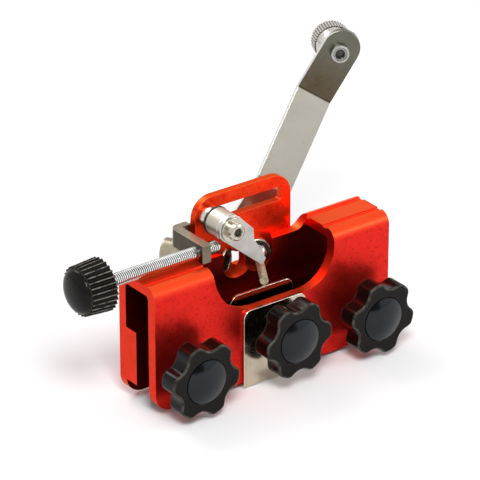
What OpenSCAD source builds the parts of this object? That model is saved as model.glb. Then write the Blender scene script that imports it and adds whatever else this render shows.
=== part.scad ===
// Manual chainsaw sharpener.
// A red clamp body straddles the work, three star knobs hold it, a slotted plate
// carries the tooth stop, and a crank turns the grinding bit in an angled sleeve.
// X runs along the channel, Y from front to back, Z up.
// The origin is the centre of the channel's mouth, in the plane of the wall feet.

/* [Clamp body] */
// Length of the clamp body along the channel
body_length = 130; // [122:1:160]
// Width of the channel between the walls
channel_width = 17; // [16:0.5:20]
// Height of the clamp body
body_height = 60; // [59:0.5:64]
// Thickness of the front and back walls
wall = 5; // [4.5:0.5:6]
// Thickness of the top web that joins the walls
top_web = 4.5; // [3.5:0.5:6]
// Radius of the long top edges
edge_radius = 5.5; // [3:0.5:6]
// Radius of the bottom corners at the ends of the walls
foot_radius = 8.5; // [2:0.5:10]
// Radius inside the channel under the top web
channel_radius = 2; // [1:0.5:3]
// Width of the groove behind each long top edge
groove_width = 3.2; // [1:0.2:4]
// Depth of that groove
groove_depth = 0.8; // [0.4:0.1:1.2]

/* [Work seat] */
// Plane that the clamped work and the bit's crossing point are centred on, behind the middle (negative is front)
work_plane = -1.4; // [-1.8:0.1:-1]
// Thickness of the clamped work
work_thickness = 4.5; // [4.3:0.1:5]
// Height of the seat rib's lower edge
seat_low = 8; // [4:0.5:12]
// Height of the seat rib's upper edge
seat_high = 34; // [28:0.5:36]

/* [Scoop] */
// Depth of the scoop's floor below the body's top
scoop_depth = 25; // [23:0.5:26]
// Distance from the middle to the scoop's left side
scoop_left = 33; // [33:0.5:34]
// Distance from the middle to the scoop's right side
scoop_right = 33.5; // [32:0.5:35]
// Radius of the scoop's lower left corner
scoop_left_radius = 24; // [16:0.5:24.5]
// Radius of the scoop's lower right corner
scoop_right_radius = 17; // [12:0.5:20]
// Drop of the back wall's rim inside the scoop below the body's top
rim_drop = 6.7; // [6:0.1:7]
// Reach of the lowered back wall to the right of the middle
back_rim_reach = 28; // [24:0.5:29]

/* [Slotted plate] */
// Thickness of the slotted plate on the back wall
plate_thickness = 3.5; // [3:0.1:3.9]
// Width of the plate's rim over the slot
plate_rim = 6; // [5:0.2:8]
// Height of the slotted plate's bottom edge
plate_bottom = 14; // [10:0.5:18]
// Reach of the plate to the left of the middle
plate_left = 23.7; // [23.5:0.1:24.5]
// Reach of the plate to the right of the middle
plate_right = 29.5; // [28:0.5:32]
// Radius of the plate's top corners
plate_radius = 10; // [6:0.5:11]
// Height of the slot from edge to edge
slot_height = 6.6; // [6:0.1:7]
// Reach of the slot to the left of the middle
slot_left = 21.4; // [21.4:0.1:21.8]
// Reach of the slot to the right of the middle
slot_right = 24.5; // [20:0.5:26]
// Shank diameter of the screws that hold the plate
plate_screw_d = 4; // [3:0.5:4]
// Spacing of the plate's two upper screws
plate_screw_spread = 46; // [44:0.5:48]
// Height of the plate's lower screws
plate_screw_low = 24; // [20:0.5:28]
// Height of the plate's upper screws
plate_screw_high = 33; // [31:0.5:35]

/* [Guide sleeves] */
// Angle between each sleeve and the square cut
sleeve_angle = 31; // [28:1:32]
// Distance of the sleeves' crossing point to the right of the middle
cross_x = 1.75; // [1.5:0.05:2]
// Height of the back wall's rim over the sleeves
sleeve_cover = 0.5; // [0.3:0.1:1]
// Outer diameter of the sleeves
sleeve_d = 13; // [12:0.2:13.2]
// Distance from the crossing point to a sleeve's front end
sleeve_start = 16.5; // [15:0.5:18]
// Length of a sleeve
sleeve_length = 30.5; // [29.5:0.5:34]

/* [Grinding bit] */
// Diameter of the bit's shank
shank_d = 8; // [7:0.2:8.2]
// Diameter of the grinding head
head_d = 4; // [3:0.2:4]
// Length of the grinding head
head_length = 24; // [22:0.5:25]
// Distance from the head's tip to the crossing point
head_reach = 12; // [11:0.5:13]
// Diameter of the bit's threaded tail
tail_d = 5; // [4:0.5:5]
// Length of the bit's threaded tail
tail_length = 7.5; // [7:0.5:9]

/* [Crank] */
// Width of the crank's flat strip
crank_width = 17.5; // [14:0.5:18]
// Thickness of the strip
crank_thickness = 2.8; // [2.4:0.1:3]
// Length of the strip from the bit to the first bend
crank_hub_run = 20.5; // [20:0.5:25]
// Length of the leaning middle run
crank_lean_run = 46.3; // [36:0.5:48]
// Lean of the middle run away from the body
crank_lean = 29.5; // [25:0.5:34]
// Lean of the grip's run away from the body
crank_end_lean = 7; // [0:0.5:10]
// Length of the strip from the second bend to the grip screw
crank_grip_run = 22.6; // [20:0.5:25]
// Radius of the bends at the strip's middle
crank_bend_radius = 4; // [3:0.5:6]
// Turn of the crank from upright at rest
crank_turn = 31.5; // [0:0.5:60]
// Outer diameter of the thrust washer
thrust_washer_d = 13; // [12:0.5:15]
// Thickness of the thrust washer
thrust_washer_t = 0.8; // [0.6:0.1:1]

/* [Grip] */
// Diameter of the knurled grip
grip_d = 18.5; // [16:0.5:20]
// Length of the knurled part
grip_knurl_length = 10.8; // [10:0.2:16]
// Length of the cone
grip_cone_length = 8; // [7:0.5:14]
// Diameter of the cone's small end
grip_neck_d = 9.6; // [9.2:0.2:12]
// Number of knurl ridges
grip_ridges = 44; // [30:1:60]
// Depth of the knurl
grip_knurl_depth = 0.5; // [0.3:0.1:0.7]
// Shank diameter of the grip screw
grip_screw_d = 5; // [4:0.5:5]

/* [Adjuster] */
// Thickness of the bracket's tapped web
bracket_web = 4.5; // [4:0.1:4.6]
// Thickness of the bracket's back arm
bracket_arm = 3.6; // [3:0.1:4]
// Height of the bracket
bracket_height = 8.5; // [8:0.1:9]
// Distance of the web's left face to the left of the middle
bracket_left = 32.9; // [32.4:0.1:33.4]
// Distance of the web's front end in front of the middle
bracket_front = 4.8; // [4:0.1:5.5]
// Length of the back arm along the plate
bracket_reach = 22; // [21:0.5:23]
// Outer radius of the bracket's bend
bracket_radius = 4.2; // [4.1:0.1:5]
// Height of the adjuster screw's axis over the body's top
adjuster_rise = 3.5; // [3.4:0.1:5]
// Distance of the adjuster screw's axis behind the middle
adjuster_depth = 0.7; // [0.2:0.1:1.2]
// Diameter of the adjuster screw
adjuster_d = 6; // [5:0.2:6.2]
// Gap between the thumb knob and the body's end
thumb_gap = 17; // [12:0.5:22]
// Diameter of the thumb knob
thumb_d = 24.5; // [20:0.5:26]
// Length of the thumb knob's fluted part
thumb_length = 13.2; // [12.4:0.2:20]
// Height of the thumb knob's dome
thumb_dome = 3.6; // [2:0.2:6]
// Number of flutes on the thumb knob
thumb_flutes = 28; // [20:1:36]
// Depth of the flutes
thumb_flute_depth = 0.9; // [0.5:0.1:1.2]

/* [Tooth stop] */
// Distance of the pivot pin to the left of the middle
pin_left = 16; // [15.8:0.1:16.2]
// Shank diameter of the pivot pin
pin_d = 4; // [3:0.5:4]
// Diameter of the pivot pin's head
pin_head_d = 7.8; // [6:0.2:8]
// Height of the pivot pin's head
pin_head_height = 4; // [3:0.5:4]
// Diameter of the spacer bush
bush_d = 13; // [12.4:0.2:13]
// Length of the spacer bush
bush_length = 9; // [8:0.2:9]
// Diameter of the slot roller's ring
roller_d = 12; // [9:0.5:12.5]
// Length of the slot roller's ring
roller_length = 4.8; // [4:0.2:5]
// Diameter of the dark shim between bush and roller
shim_d = 13.6; // [12:0.2:14]
// Thickness of that shim
shim_thickness = 0.8; // [0.6:0.1:1]
// Thickness of the pawl
pawl_thickness = 2; // [1.6:0.1:2.2]
// Radius of the pawl's hub
pawl_hub_radius = 6.5; // [6:0.1:6.6]
// Reach of the pawl's tip to the right of the pin
pawl_reach = 19; // [18:0.2:19.5]
// Gap between the pawl's tip and the grinding head
pawl_gap = 0.6; // [0.4:0.1:1.5]
// Diameter of the washer under the pin's head
pin_washer_d = 11.2; // [9:0.2:12]

/* [Star knobs] */
// Distance of each side knob's axis from the body's end
side_knob_inset = 15.7; // [14:0.1:17]
// Height of the side knobs' axes
side_knob_height = 18; // [16:0.5:20]
// Distance of the centre knob's axis to the right of the middle
centre_knob_x = 1; // [-1:0.5:2]
// Drop of the centre knob's axis below the scoop's floor
centre_knob_drop = 12.5; // [11:0.5:15]
// Diameter over the lobes
knob_d = 36; // [32:0.5:40]
// Number of lobes
knob_lobes = 6; // [5:1:8]
// Thickness of the lobed head
knob_thickness = 9.5; // [8:0.5:11]
// Diameter of the knob's neck
knob_neck_d = 14; // [12:0.5:16]
// Length of the neck
knob_neck_length = 2.5; // [2:0.5:4]
// Diameter of the domed cap
knob_cap_d = 20.5; // [18:0.5:24]
// Height of the cap's dome over the knob's face
knob_cap_dome = 2.2; // [1:0.1:2.5]
// Turn of the left knob's lobes about its axis
left_knob_angle = -51; // [-60:1:60]
// Turn of the right knob's lobes about its axis
right_knob_angle = -45; // [-60:1:60]
// Turn of the centre knob's lobes about its axis
centre_knob_angle = -2; // [-60:1:60]
// Gap between the side knobs' necks and the front wall
side_knob_gap = 4.6; // [4.6:0.1:6]
// Gap between the centre knob's neck and the clip
centre_knob_gap = 4; // [3:0.5:5]
// Diameter of the knobs' studs
stud_d = 6; // [5:0.5:6]
// Diameter of the studs' slim tips
stud_tip_d = 4; // [3:0.2:4.4]
// Diameter of the swivel pads
pad_d = 12; // [10:0.5:14]
// Thickness of the swivel pads
pad_thickness = 3; // [2.6:0.1:3.2]

/* [Guide clip] */
// Reach of the clip to the left of the middle
clip_left = 18; // [16:0.5:20]
// Reach of the clip to the right of the middle
clip_right = 16.5; // [14:0.5:18]
// Thickness of the clip's sheet
clip_sheet = 1.5; // [1.2:0.1:1.6]
// Rise of the clip's outer leg over the scoop's floor
clip_outer_rise = 1; // [-2:0.5:1.5]
// Gap between the clip's inner leg and the bit above it
clip_bit_gap = 5; // [4.3:0.1:7.3]
// Depth of the clip's fold below the wall feet
clip_fold = 2.3; // [2.2:0.1:3]
// Radius of the clip's upper corners
clip_radius = 4; // [2:0.5:6]

/* [Fits] */
// Gap round a shaft that turns or slides
running_gap = 0.05; // [0.03:0.01:0.08]
// Gap between faces that slide past each other
face_gap = 0.1; // [0.06:0.02:0.16]
// Gap in front of a part that stops against another
stop_gap = 0.3; // [0.2:0.05:0.4]

/* [Hidden] */
$fn = 64;

// Colours seen on the object
red = [0.80, 0.12, 0.07];
steel = [0.72, 0.70, 0.66];
bright_steel = [0.82, 0.82, 0.82];
satin_steel = [0.66, 0.64, 0.60];
bracket_steel = [0.50, 0.44, 0.36];
dark_steel = [0.20, 0.19, 0.18];
bit_gold = [0.62, 0.56, 0.42];
black_plastic = [0.06, 0.06, 0.065];

// Overrun that lets a cut pass cleanly through a face
over = body_height / 60;

// Places on the clamp body
body_depth = channel_width + 2 * wall;
front_face = -body_depth / 2;
back_face = body_depth / 2;
front_inner = front_face + wall;
back_inner = back_face - wall;
seat_face = work_plane + work_thickness / 2;
work_front = work_plane - work_thickness / 2;
plate_back = back_face + plate_thickness;
plate_screw_tip = back_inner + wall / 5;
side_knob_x = body_length / 2 - side_knob_inset;
back_rim = body_height - rim_drop;
scoop_floor = body_height - scoop_depth;
centre_knob_height = scoop_floor - centre_knob_drop;
sleeve_height = back_rim - sleeve_cover - sleeve_d / 2;
clip_outer_top = scoop_floor + clip_outer_rise;
clip_inner_top = sleeve_height - head_d / 2 - clip_bit_gap;
adjuster_height = body_height + adjuster_rise;
bush_contact_share = 0.785;
slot_middle = adjuster_height + adjuster_d / 2 + bush_contact_share * bush_d / 2;
plate_top = slot_middle + slot_height / 2 + plate_rim;
pawl_drop = slot_middle - sleeve_height - head_d / 2 - pawl_gap;

// Places along a sleeve, measured from the crossing point towards the back
sleeve_end = sleeve_start + sleeve_length;
washer_start = sleeve_end + face_gap;
crank_start = washer_start + thrust_washer_t + face_gap;
crank_middle = crank_start + crank_thickness / 2;
shank_start = head_length - head_reach;
crank_nut_height = 4;
crank_nut_d = 9.2;
crank_bend = [crank_hub_run + crank_lean_run * cos(crank_lean), crank_lean_run * sin(crank_lean)];
crank_grip = crank_bend + crank_grip_run * [cos(crank_end_lean), sin(crank_end_lean)];
crank_end_share = 0.125;
crank_end_reach = crank_end_share * crank_width;

// Places along the grip screw, measured from the middle of the strip
grip_plane = crank_thickness / 2;
grip_washer_d = 9.6;
grip_washer_t = 0.8;
grip_start = grip_plane + grip_washer_t + face_gap;
grip_end = grip_start + grip_cone_length + grip_knurl_length;
grip_recess = 7;
grip_nut_height = 4;
grip_nut_d = 9.2;
grip_nut_start = grip_end - grip_recess + stop_gap;
grip_head_d = 8.6;
grip_head_height = 2.8;
socket_share = 0.45;
socket_depth_share = 0.55;

// Places along the pivot pin, measured in Y from the plate's front face forwards
pin_z = slot_middle;
pin_x = -pin_left;
roller_front = back_face - face_gap - roller_length;
shim_front = roller_front - shim_thickness;
bush_front = shim_front - bush_length;
pawl_back = bush_front - face_gap;
pawl_front = pawl_back - pawl_thickness;
pin_washer_t = 0.8;
pin_washer_back = pawl_front - face_gap;
pin_washer_front = pin_washer_back - pin_washer_t;
pin_head_front = pin_washer_front - pin_head_height;
roller_neck_d = slot_height - 4 * running_gap;
rear_washer_d = 8;
rear_washer_t = 0.8;
rear_washer_front = plate_back + face_gap;
rear_nut_d = 8;
rear_nut_height = 3.2;
rear_nut_front = rear_washer_front + rear_washer_t;
pin_tail = 1;
pin_end = rear_nut_front + rear_nut_height + pin_tail;

// Places on the adjuster
bracket_x = -bracket_left;
bracket_bottom = body_height + face_gap;
bracket_arm_top = slot_middle - rear_washer_d / 2 - stop_gap;
bracket_back = plate_back + bracket_arm;
bracket_screw_d = 3;
bracket_screw_head_d = 5;
bracket_screw_head_height = 1.6;
bracket_screw_z = (bracket_bottom + bracket_arm_top) / 2;
bracket_screw_tip = back_face + plate_thickness / 4;
bracket_screw_x = [bracket_x + bracket_reach - 2.9 * bracket_screw_d / 3,
                   bracket_x + bracket_reach - 8.9 * bracket_screw_d / 3];
bush_contact_angle = asin(bush_contact_share);
adjuster_tip = pin_x - bush_d / 2 * cos(bush_contact_angle) - stop_gap;
thumb_right = -body_length / 2 - thumb_gap;
adjuster_length = adjuster_tip - thumb_right;
adjuster_grip = 12;
knurl_rim_share = 1.6;

// Places on the star knobs, measured in Y
side_neck_back = front_face - side_knob_gap;
clip_outer_front = front_face - face_gap - clip_sheet;
centre_neck_back = clip_outer_front - centre_knob_gap;
pad_front_play = face_gap;
pad_back = work_front - pad_front_play;
pad_front = pad_back - pad_thickness;
pad_socket = 2;
knob_round = 1.5;
knob_lobe_share = 0.165;
knob_lobe_place_share = 0.345;
knob_hub_share = 0.43;
knob_valley_share = 0.19;
knob_valley_place_share = 0.595;
knob_cap_recess = 1.5;
stud_grip = 8;
clip_inner_back = work_front - face_gap;
clip_inner_front = clip_inner_back - clip_sheet;
clip_ring_d = 7;
clip_ring_t = 0.8;
clip_bend_radius = 1;

// Widths over flats of the hexagons, as shares of their widths over corners
hex_share = cos(30);

// Corner points of the pawl right of its hub, as shares of its reach and drop
pawl_shoulder_share = [0.637, 0.137];
pawl_waist_share = [0.649, 0.357];
pawl_nose_share = [1, 0.868];
pawl_tip_share = [0.9, 1];

// Basic shapes

module along_x(x, y, z) {
    translate([x, y, z]) rotate([0, 90, 0]) children();
}

// Points the local Z axis along +Y, with local X kept and local Y pointing down
module along_y(x, y, z) {
    translate([x, y, z]) rotate([-90, 0, 0]) children();
}

// Points the local Z axis backwards along a sleeve; side is 1 for the right sleeve, -1 for the left
module along_sleeve(side = 1) {
    translate([cross_x, work_plane, sleeve_height])
        rotate([0, 0, -side * sleeve_angle])
            rotate([-90, 0, 0])
                children();
}

// Sleeve frame with its local X axis turned along the crank's arm
module along_crank() {
    along_sleeve(1) rotate([0, 0, crank_turn - 90]) children();
}

module disc(d, z0, z1) {
    translate([0, 0, z0]) cylinder(d = d, h = z1 - z0);
}

module ring(d_out, d_in, z0, z1) {
    difference() {
        disc(d_out, z0, z1);
        disc(d_in, z0 - over, z1 + over);
    }
}

module hex_bar(corner_d, z0, z1) {
    translate([0, 0, z0]) cylinder(d = corner_d, h = z1 - z0, $fn = 6);
}

// Hexagon nut with turned corners
module hex_nut(corner_d, bore_d, z0, z1) {
    difference() {
        intersection() {
            hex_bar(corner_d, z0, z1);
            chamfered_disc(corner_d, z0, z1, corner_d * (1 - hex_share) / 2);
        }
        disc(bore_d, z0 - over, z1 + over);
    }
}

module chamfered_disc(d, z0, z1, cut) {
    rotate_extrude()
        polygon([[0, z0], [d / 2 - cut, z0], [d / 2, z0 + cut], [d / 2, z1 - cut],
                 [d / 2 - cut, z1], [0, z1]]);
}

// Outline points of a dome from its middle to its rim; r is the rim's radius, rise the dome's
// height, z the rim's place, and way the side that it bulges to
function dome_points(r, rise, z, way) =
    let (
        sphere_r = (r * r + rise * rise) / (2 * rise),
        reach = asin(r / sphere_r),
        steps = 6
    )
    [for (i = [0 : steps]) let (a = reach * i / steps)
        [i == steps ? r : sphere_r * sin(a),
         i == steps ? z : z + way * (rise - sphere_r * (1 - cos(a)))]];

// Star outline with flat-flanked teeth, used for the flutes and the knurl
module toothed(d, count, depth) {
    polygon([for (i = [0 : 2 * count - 1])
        let (r = i % 2 == 0 ? d / 2 : d / 2 - depth, a = i * 180 / count)
            [r * cos(a), r * sin(a)]]);
}

// Clamp body

// Section across the channel, in Y and Z
module body_section() {
    difference() {
        union() {
            translate([front_face, 0]) square([body_depth, body_height - edge_radius]);
            translate([front_face + edge_radius, 0])
                square([body_depth - 2 * edge_radius, body_height]);
            for (s = [-1, 1])
                translate([s * (back_face - edge_radius), body_height - edge_radius])
                    circle(edge_radius);
        }
        channel_section();
        for (s = [-1, 1])
            translate([s * (back_face - edge_radius - groove_width / 2), body_height])
                groove_section();
    }
}

module groove_section() {
    intersection() {
        circle(groove_width / 2);
        translate([-groove_width / 2, -groove_depth]) square([groove_width, groove_width]);
    }
}

module channel_section() {
    channel_top = body_height - top_web;
    difference() {
        translate([front_inner, -over]) square([back_inner - front_inner, channel_top + over]);
        for (s = [-1, 1])
            translate([s * (back_inner - channel_radius), channel_top - channel_radius])
                corner_web(s);
        translate([seat_face, seat_low]) square([back_inner - seat_face, seat_high - seat_low]);
    }
}

// Material left in a rounded inner corner, on the side that s points to
module corner_web(s) {
    difference() {
        translate([s > 0 ? 0 : -channel_radius, 0]) square(channel_radius);
        circle(channel_radius);
    }
}

// Outline of the scoop, in X and Z
module scoop_outline() {
    left_x = scoop_left_radius - scoop_left;
    left_z = scoop_floor + scoop_left_radius;
    right_x = scoop_right - scoop_right_radius;
    right_z = scoop_floor + scoop_right_radius;
    translate([left_x, left_z]) circle(scoop_left_radius);
    translate([right_x, right_z]) circle(scoop_right_radius);
    translate([left_x, scoop_floor]) square([right_x - left_x, body_height + over - scoop_floor]);
    translate([left_x, right_z]) square([scoop_right - left_x, body_height + over - right_z]);
}

// Outline of the lowered back wall, in X and Z
module rim_outline() {
    translate([-scoop_left, back_rim])
        square([scoop_left + back_rim_reach, rim_drop + over]);
    translate([back_rim_reach, body_height]) circle(rim_drop);
}

// Extrudes an outline in X and Z from y0 to y1
module across(y0, y1) {
    translate([0, y1, 0]) rotate([90, 0, 0]) linear_extrude(y1 - y0) children();
}

module foot_corner() {
    difference() {
        translate([-over, -over]) square(foot_radius + over);
        translate([foot_radius, foot_radius]) circle(foot_radius);
    }
}

// Open-topped seat for one sleeve, square to the sleeve's axis
module sleeve_seat(side) {
    along_sleeve(side) {
        disc(sleeve_d, sleeve_start / 2, sleeve_end);
        translate([-sleeve_d / 2, -body_height, sleeve_start / 2])
            cube([sleeve_d, body_height, sleeve_length]);
    }
}

// Places of the plate screws in X and Z
plate_screw_places = [
    [cross_x - plate_screw_spread / 2, plate_screw_high],
    [cross_x + plate_screw_spread / 2, plate_screw_high],
    [cross_x - plate_screw_spread / 4, plate_screw_low],
    [cross_x + plate_screw_spread / 4, plate_screw_low]
];

module clamp_body() {
    color(red)
    difference() {
        rotate([90, 0, 90]) linear_extrude(body_length, center = true) body_section();
        across(front_face - over, back_inner) scoop_outline();
        across(back_inner - over, back_face + over) rim_outline();
        for (s = [0, 1])
            mirror([s, 0, 0])
                translate([-body_length / 2, 0, 0])
                    across(front_face - over, back_face + over) foot_corner();
        for (side = [-1, 1])
            intersection() {
                sleeve_seat(side);
                translate([-body_length / 2, back_inner - wall, 0])
                    cube([body_length, 3 * wall, body_height + over]);
            }
        for (s = [-1, 1])
            along_y(s * side_knob_x, 0, side_knob_height)
                disc(stud_d + 2 * running_gap, front_face - over, front_inner + over);
        along_y(centre_knob_x, 0, centre_knob_height)
            disc(stud_d + 2 * running_gap, front_face - over, front_inner + over);
        for (p = plate_screw_places)
            along_y(p[0], 0, p[1]) disc(plate_screw_d, plate_screw_tip - stop_gap, back_face + over);
    }
}

// Slotted plate

module plate_outline() {
    translate([-plate_left, plate_bottom])
        square([plate_left + plate_right, plate_top - plate_radius - plate_bottom]);
    translate([-plate_left + plate_radius, plate_bottom])
        square([plate_left + plate_right - 2 * plate_radius, plate_top - plate_bottom]);
    for (x = [-plate_left + plate_radius, plate_right - plate_radius])
        translate([x, plate_top - plate_radius]) circle(plate_radius);
}

module slot_outline() {
    slot_corner = slot_height / 4;
    translate([-slot_left, slot_middle - slot_height / 2 + slot_corner])
        square([slot_left + slot_right, slot_height - 2 * slot_corner]);
    translate([-slot_left + slot_corner, slot_middle - slot_height / 2])
        square([slot_left + slot_right - 2 * slot_corner, slot_height]);
    for (x = [-slot_left + slot_corner, slot_right - slot_corner])
        for (z = [-1, 1])
            translate([x, slot_middle + z * (slot_height / 2 - slot_corner)])
                circle(slot_corner);
}

module slotted_plate() {
    window_width = sleeve_d * 0.55;
    color(red)
    difference() {
        across(back_face, plate_back) plate_outline();
        across(back_face - over, plate_back + over) slot_outline();
        for (side = [-1, 1])
            along_sleeve(side) disc(sleeve_d, 0, 2 * sleeve_end);
        translate([cross_x - window_width / 2, back_face - over, sleeve_height - sleeve_d / 4])
            cube([window_width, plate_thickness + 2 * over, sleeve_d / 2]);
        for (p = plate_screw_places)
            along_y(p[0], 0, p[1]) disc(plate_screw_d, back_face - over, plate_back + over);
        for (x = bracket_screw_x)
            along_y(x, 0, bracket_screw_z)
                disc(bracket_screw_d, bracket_screw_tip, plate_back + over);
    }
}

module socket_screw(d, head_d, head_height, y_tip, y_seat) {
    difference() {
        union() {
            disc(d, y_tip, y_seat);
            chamfered_disc(head_d, y_seat, y_seat + head_height, head_height / 10);
        }
        hex_bar(head_d * socket_share / hex_share, y_seat + head_height * (1 - socket_depth_share),
                y_seat + head_height + over);
    }
}

module plate_screws() {
    color(dark_steel)
    for (p = plate_screw_places)
        along_y(p[0], 0, p[1])
            socket_screw(plate_screw_d, 1.75 * plate_screw_d, plate_screw_d / 2,
                         plate_screw_tip, plate_back);
}

// Guide sleeves

module sleeve(side) {
    along_sleeve(side)
        difference() {
            chamfered_disc(sleeve_d, sleeve_start, sleeve_end, sleeve_d / 26);
            disc(shank_d + 2 * running_gap, sleeve_start - over, sleeve_end + over);
        }
}

module bit_sleeve() {
    color(satin_steel) sleeve(1);
}

module spare_sleeve() {
    color(satin_steel) sleeve(-1);
}

// Grinding bit and crank

module bit_shank() {
    groove = shank_d / 10;
    cone = (shank_d - head_d) / 4;
    color(steel)
    along_sleeve(1)
        rotate_extrude()
            polygon([
                [0, shank_start],
                [head_d / 2, shank_start],
                [shank_d / 2 - groove, shank_start + cone],
                [shank_d / 2, shank_start + cone + groove],
                [shank_d / 2, shank_start + cone + 2 * groove],
                [shank_d / 2 - groove / 2, shank_start + cone + 2 * groove],
                [shank_d / 2 - groove / 2, shank_start + cone + 3 * groove],
                [shank_d / 2, shank_start + cone + 3 * groove],
                [shank_d / 2, crank_start],
                [tail_d / 2, crank_start],
                [tail_d / 2, crank_start + tail_length - tail_d / 10],
                [tail_d * 0.4, crank_start + tail_length],
                [0, crank_start + tail_length]
            ]);
}

module grinding_head() {
    bevel = head_d / 12;
    color(bit_gold)
    along_sleeve(1)
        rotate_extrude()
            polygon([[0, -head_reach], [head_d / 2 - bevel, -head_reach],
                     [head_d / 2, -head_reach + bevel], [head_d / 2, shank_start],
                     [0, shank_start]]);
}

module thrust_washer() {
    color(bright_steel)
    along_sleeve(1)
        ring(thrust_washer_d, shank_d + 2 * running_gap, washer_start, washer_start + thrust_washer_t);
}

// One side of the bent strip, d to the back of its middle line, from hub end to grip end
function strip_side(d) =
    let (
        r = crank_bend_radius,
        turn_back = crank_lean - crank_end_lean,
        x1 = crank_hub_run - r * tan(crank_lean / 2),
        middle = crank_bend - r * tan(turn_back / 2) * [cos(crank_lean), sin(crank_lean)]
            + r * [sin(crank_lean), -cos(crank_lean)],
        end_radius = crank_width / 2,
        end = crank_grip
            + (crank_end_reach + end_radius) * [cos(crank_end_lean), sin(crank_end_lean)],
        steps = 8
    )
    concat(
        [[-end_radius, d]],
        [for (i = [0 : steps]) let (a = -90 + crank_lean * i / steps)
            [x1 + (r - d) * cos(a), r + (r - d) * sin(a)]],
        [for (i = [0 : steps]) let (a = 90 + crank_lean - turn_back * i / steps)
            middle + (r + d) * [cos(a), sin(a)]],
        [end + d * [-sin(crank_end_lean), cos(crank_end_lean)]]
    );

function backwards(points) = [for (i = [len(points) - 1 : -1 : 0]) points[i]];

module crank_arm() {
    half = crank_thickness / 2;
    color(steel)
    along_crank()
        difference() {
            intersection() {
                translate([0, crank_width / 2 + over, crank_middle])
                    rotate([90, 0, 0])
                        linear_extrude(crank_width + 2 * over)
                            polygon(concat(strip_side(half), backwards(strip_side(-half))));
                translate([0, 0, sleeve_end]) linear_extrude(crank_grip[1] + 3 * crank_thickness)
                    crank_planform();
            }
            disc(tail_d, sleeve_end, crank_start + 2 * crank_thickness);
            from_hub_to_grip() disc(grip_screw_d, -crank_thickness, crank_thickness);
        }
}

module crank_planform() {
    end = crank_grip[0] + crank_end_reach;
    circle(d = crank_width);
    translate([0, -crank_width / 2]) square([end, crank_width]);
    translate([end, 0]) circle(d = crank_width);
}

module crank_nut() {
    color(bright_steel)
    along_crank()
        hex_nut(crank_nut_d, tail_d, crank_start + crank_thickness,
                crank_start + crank_thickness + crank_nut_height);
}

// Grip

// Moves from the hub's frame to the grip screw's, whose local Z runs along the screw
module from_hub_to_grip() {
    translate([crank_grip[0], 0, crank_middle + crank_grip[1]])
        rotate([0, -crank_end_lean, 0])
            children();
}

module at_grip() {
    along_crank() from_hub_to_grip() children();
}

module grip_screw() {
    head_start = -grip_plane - grip_head_height;
    color(bright_steel)
    at_grip()
        difference() {
            union() {
                disc(grip_screw_d, head_start, grip_nut_start + grip_nut_height);
                chamfered_disc(grip_head_d, head_start, -grip_plane,
                               grip_head_height / 6);
            }
            hex_bar(grip_head_d * socket_share, head_start - over,
                    head_start + grip_head_height * socket_depth_share);
        }
}

module grip_washer() {
    color(bright_steel)
    at_grip() ring(grip_washer_d, grip_screw_d, grip_plane, grip_plane + grip_washer_t);
}

module grip() {
    knurl_start = grip_start + grip_cone_length;
    rim = grip_knurl_depth * knurl_rim_share;
    color(satin_steel)
    at_grip()
        difference() {
            union() {
                rotate_extrude()
                    polygon([[0, grip_start], [grip_neck_d / 2, grip_start],
                             [grip_d / 2 - rim, knurl_start],
                             [grip_d / 2 - rim, grip_end], [0, grip_end]]);
                translate([0, 0, knurl_start + rim])
                    linear_extrude(grip_knurl_length - 2 * rim)
                        toothed(grip_d, grip_ridges, grip_knurl_depth);
            }
            disc(grip_screw_d + 2 * running_gap, grip_start - over, grip_end + over);
            disc(grip_nut_d + 4 * stop_gap, grip_end - grip_recess, grip_end + over);
        }
}

module grip_nut() {
    color(bright_steel)
    at_grip()
        hex_nut(grip_nut_d, grip_screw_d, grip_nut_start, grip_nut_start + grip_nut_height);
}

// Adjuster

// Plan of the bracket in X and Y: a web along Y with an arm bent behind the plate
module bracket_plan() {
    difference() {
        union() {
            translate([bracket_x, -bracket_front])
                square([bracket_web, bracket_back - bracket_radius + bracket_front]);
            translate([bracket_x + bracket_radius, plate_back])
                square([bracket_reach - bracket_radius, bracket_arm]);
            translate([bracket_x + bracket_radius, bracket_back - bracket_radius])
                circle(bracket_radius);
        }
        translate([bracket_x + bracket_web, -bracket_front])
            square([bracket_reach, plate_back + bracket_front]);
    }
}

module adjuster_bracket() {
    color(bracket_steel)
    difference() {
        translate([0, 0, bracket_bottom]) linear_extrude(bracket_height) bracket_plan();
        translate([-plate_left, plate_back - over, bracket_arm_top])
            cube([bracket_reach, bracket_arm + 2 * over, bracket_height]);
        along_x(bracket_x, adjuster_depth, adjuster_height)
            disc(adjuster_d + 2 * running_gap, -over, bracket_web + over);
        for (x = bracket_screw_x)
            along_y(x, 0, bracket_screw_z)
                disc(bracket_screw_d, back_face, bracket_back + over);
    }
}

module bracket_screws() {
    color(dark_steel)
    for (x = bracket_screw_x)
        along_y(x, 0, bracket_screw_z)
            socket_screw(bracket_screw_d, bracket_screw_head_d, bracket_screw_head_height,
                         bracket_screw_tip, bracket_back);
}

module adjuster_screw() {
    tip = adjuster_d / 10;
    color(bright_steel)
    along_x(adjuster_tip, adjuster_depth, adjuster_height)
        rotate_extrude()
            polygon([[0, -adjuster_length - adjuster_grip],
                     [adjuster_d / 2, -adjuster_length - adjuster_grip],
                     [adjuster_d / 2, -tip], [adjuster_d / 2 - tip, 0], [0, 0]]);
}

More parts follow.
